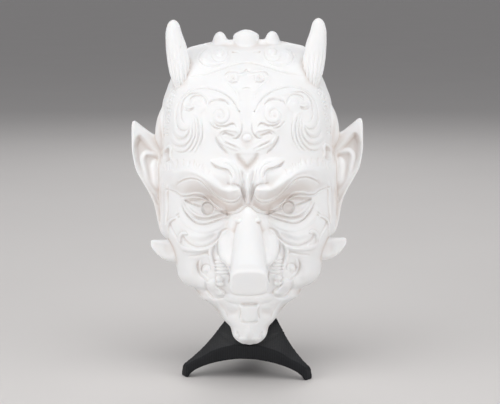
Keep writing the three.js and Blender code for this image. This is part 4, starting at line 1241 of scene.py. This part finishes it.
def paintShadeInHollows(mesh):  # painted shade: 1 at the bottom of hollows, 0 on open ground
    points, normals = pointsOf(mesh), normalsOf(mesh)
    x, y, z = points.T
    onShell = 1 - ramp(*mask["deepOffShell"], np.abs(-y - shellDepth(x, z)))
    deep = readLayer(deepness, *onDrawing(x, y, z)) * onShell
    undersideShade = ramp(*paintedShade["undersideFacing"], -normals[:, 2]) * ramp(*paintedShade["undersideHeight"], z)
    values = np.maximum(deep, paintedShade["undersideShade"] * undersideShade)
    for passes, full, power in paintedShade["scales"]:
        relax(mesh, passes, 0.6)
        sunkBy = ((pointsOf(mesh) - points) * normals).sum(1)
        setPoints(mesh, points)
        values *= 1 - paintedShade["crestShare"] * np.clip(-sunkBy / (paintedShade["crestReach"] * full), 0, 1)
        values = np.maximum(values, np.clip(sunkBy / full, 0, 1) ** power)
    backward = ramp(*paintedShade["backFacing"], normals[:, 1])
    values = values * (1 - backward) + paintedShade["openBackShade"] * backward
    # The hollow attribute carries this painted shade into the white print's colour.
    mesh.attributes.new("hollow", "FLOAT", "POINT").data.foreach_set("value", values.astype(np.float32))


def makeMask(material):
    coils = coilTree(material)
    top = shell["crownTop"]
    parts = [shellSurface("shell", shell["rows"], shell["columns"], shell["chinTip"], top, 0, True),
             makeNose(), makeCrest("bud", 1)]
    for side in (-1, 1):
        parts += [makeHorn(side), makeTusk(side), makeCrest("knob", side)]
        for centre, reach in crown["budBalls"]:
            parts.append(ellipsoid("budBall", np.array(centre) * [side, 1, 1], reach))
        parts += makeEar(side) + makePearls(side)
        parts.append(tube("wing", np.array(nose["wing"]) * [side, 1, 1], nose["wingRadii"]))
        row = facingPath("curlRow", side, curls["path"], curls["facing"])
        parts.append(runTree(row, coils, {
            "Spacing": curls["spacing"], "Coil Radius": curls["coilRadius"], "Turns": curls["coilTurns"],
            "Strand Radius": curls["strand"], "Seed": curls["seed"] + side}))
    whole = joined("tenguMask", parts)
    withModifier(whole, "REMESH", mode="VOXEL", voxel_size=mask["voxelMm"], adaptivity=0.0)
    print("mask skin", len(whole.data.vertices))
    relax(whole.data, mask["relaxPasses"])
    smoothJoins(whole.data)
    liftRelief(whole.data)
    wall = shell["wall"]
    rows, columns = shell["hollowRows"], shell["hollowColumns"]
    carve(whole, shellSurface("hollow", rows, columns, shell["cavityFloor"], top - wall, wall, False))
    thinOut(whole, mask["triangles"])
    print("mask triangles", triangleCount(whole.data))
    paintShadeInHollows(whole.data)
    setPoints(whole.data, seatMask(pointsOf(whole.data)) * toMetres)
    return whole


# The stand

stand = {
    "voxelMm": 0.6, "relaxPasses": 4, "triangles": 60000,
    "panelHalf": 3.1, "panelEdge": 0.5, "panelRise": 0.35, "panelBefore": -30,
    "top": 120, "bend": 32, "rowsBelow": 90, "rowsAbove": 70,
}
# Height, then half widths and y of the front ridge, flank, neck beside the rear leg, and rear leg.
standLevels = [
    (0, 37, -36, 40.7, -31, 11, -16, 8, 30), (6.4, 37, -36, 39.8, -31, 11, -15, 7.5, 29),
    (10.2, 33, -36, 34.8, -26, 11, -12, 7.5, 26), (13.6, 26.5, -36, 30, -19, 11.5, -7, 7.5, 22),
    (17.8, 19.5, -36, 25.2, -11, 12, -2, 7.5, 18), (20, 13, -36, 23, -7, 12, 1, 7.5, 16.5),
    (21.4, 7.5, -36, 21.8, -4.5, 12, 3, 7.5, 15.5), (22.4, 7, -23, 21, -3, 12, 4.5, 7.5, 15),
    (26.5, 7, -7, 17.4, 4, 12, 8, 7.5, 13), (32, 7, -3, 14, 5.5, 11, 9, 7, 11.5),
    (42, 6.5, -4, 11, 1.5, 9.5, 6, 6, 8.5), (60, 6.5, -11, 9.5, -7, 9, -2.5, 6, -0.5),
    (90, 6, -22, 8.5, -18.5, 8, -14.5, 5.5, -12.5), (113, 6, -31, 8, -28, 7.5, -23.5, 5, -22),
    (120, 5, -33, 6.5, -31, 6, -27, 4, -26)]
frontArch = {"halfSpan": 35.5, "rise": 12.6, "front": -50, "back": -18, "squareness": 1.7}
sideArch = {"halfSpan": 23, "rise": 12, "front": -60, "back": 60, "squareness": 2, "middle": -4}
underFloor = -20  # the tunnels' cutters reach below the floor


def archTunnel(name, arch, across):
    angles = np.linspace(0, math.pi, 60)
    span, power = arch["halfSpan"], arch["squareness"]
    x = np.concatenate([[span], span * squared(np.cos(angles), power), [-span]])
    z = np.concatenate([[underFloor], arch["rise"] * squared(np.sin(angles), power), [underFloor]])
    rings = np.array([np.column_stack([x, np.full(len(x), y), z]) for y in (arch["front"], arch["back"])])
    if across:
        rings = rings @ turn("Z", 90).T + [0, arch["middle"], 0]
    return loft(name, rings)


def makeStand():
    columns = list(zip(*standLevels))
    curves = [profile(*zip(columns[0], column)) for column in columns[1:]]
    below = np.linspace(0, stand["bend"], stand["rowsBelow"])
    above = np.linspace(stand["bend"], stand["top"], stand["rowsAbove"])
    heights = np.unique(np.concatenate([below, above, columns[0]]))
    rings = []
    for z in heights:
        value = [float(curve(z)) for curve in curves]
        right = [(value[i], value[i + 1], z) for i in (0, 2, 4, 6)]
        rings.append(right + [(-x, y, h) for x, y, h in reversed(right)])
    body = loft("archedStand", rings)
    carve(body, archTunnel("frontTunnel", frontArch, False))
    carve(body, archTunnel("sideTunnel", sideArch, True))
    withModifier(body, "REMESH", mode="VOXEL", voxel_size=stand["voxelMm"], adaptivity=0.0)
    relax(body.data, stand["relaxPasses"])
    points, normals = pointsOf(body.data), normalsOf(body.data)
    half, edge = stand["panelHalf"], stand["panelEdge"]
    panel = 1 - ramp(half - edge, half + edge, np.abs(points[:, 0]))
    panel *= ramp(0.5, 0.8, -normals[:, 1]) * (points[:, 1] < stand["panelBefore"])
    points[:, 1] -= stand["panelRise"] * panel
    points[:, 2] = np.maximum(points[:, 2], 0)
    setPoints(body.data, points)
    thinOut(body, stand["triangles"])
    print("stand triangles", triangleCount(body.data))
    setPoints(body.data, seatStand(pointsOf(body.data)) * toMetres)
    return body


white, black = makeWhitePrint(), makeBlackPrint()
pieces = [(makeMask(white), "mask", white, "white_print"), (makeStand(), "stand", black, "black_print")]
for piece, node, material, slotName in pieces:
    piece.data.materials.clear()
    piece.data.materials.append(material)
    piece.data.shade_smooth()
    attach(piece, "root")
    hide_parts(node)
print("pieces placed")

# Stage: a plain pale floor, soft light from both sides, above, in front and behind

stage = {"colour": "#d3d0ce", "mottleColour": "#d7d4d2", "mottleMm": 167, "half": 14.0}  # half in metres


def makeStage():
    # Matt card: one pale tone with a barely seen mottle.
    half = stage["half"]
    points = [(-half, -half, 0), (half, -half, 0), (half, half, 0), (-half, half, 0)]
    sheet = meshObject("paperSheet", points, [(0, 1, 2, 3)])
    material, tree, shader, place = newMaterial("mattPaleCard")
    mottle = noise(tree, place, stage["mottleMm"], 2.0)
    tone = mixed(tree, mottle, linear(stage["colour"]), linear(stage["mottleColour"]))
    fill(tree, shader, {"Base Color": tone, "Roughness": 0.9})
    sheet.data.materials.append(material)


def areaLight(name, place, target, size, power):
    light = bpy.data.lights.new(name, "AREA")
    light.shape = "RECTANGLE"
    light.size, light.size_y = size
    light.energy = power
    obj = bpy.data.objects.new(name, light)
    obj.location = place
    obj.rotation_euler = (Vector(target) - Vector(place)).to_track_quat("-Z", "Y").to_euler()
    bpy.context.scene.collection.objects.link(obj)


lights = {  # place, size in metres, watts
    "leftBox": ((-0.85, -0.45, 0.35), (0.7, 0.8), 5.0),
    "rightBox": ((0.9, -0.4, 0.3), (0.7, 0.8), 4.6),
    "topBox": ((0.0, -0.2, 1.1), (0.9, 0.7), 4.8),
    "frontBox": ((0.0, -1.2, 0.04), (0.9, 0.4), 3.7),
    "backBox": ((0.0, 1.0, 0.8), (0.9, 0.5), 3.0),
}
room = {"middle": (0, 0, 0.11), "colour": "#f4f4f7", "strength": 0.3}
makeStage()
for name, (place, size, power) in lights.items():
    areaLight(name, place, room["middle"], size, power)
world = bpy.data.worlds.new("softRoom")
bpy.context.scene.world = world
world.use_nodes = True
fill(world.node_tree, world.node_tree.nodes["Background"], {
    "Color": linear(room["colour"]), "Strength": room["strength"]})
bpy.context.scene.view_settings.view_transform = "Standard"

# Camera: level with the mask's tilt, 800 mm from its face

view = {"elevation": 10, "distance": 800, "aim": (1.2, -50, 85.2), "lens": 96, "sensor": 36}


def makeCamera():
    data = bpy.data.cameras.new("camera")
    data.lens = view["lens"]
    data.sensor_width = view["sensor"]
    data.clip_start = 0.01
    obj = bpy.data.objects.new("camera", data)
    aim = Vector(seatMask(np.array([view["aim"]]))[0] * toMetres)
    tilt = math.radians(view["elevation"])
    forward = Vector((0, math.cos(tilt), -math.sin(tilt)))
    obj.location = aim - forward * view["distance"] * toMetres
    obj.rotation_euler = forward.to_track_quat("-Z", "Y").to_euler()
    bpy.context.scene.collection.objects.link(obj)
    bpy.context.scene.camera = obj


makeCamera()
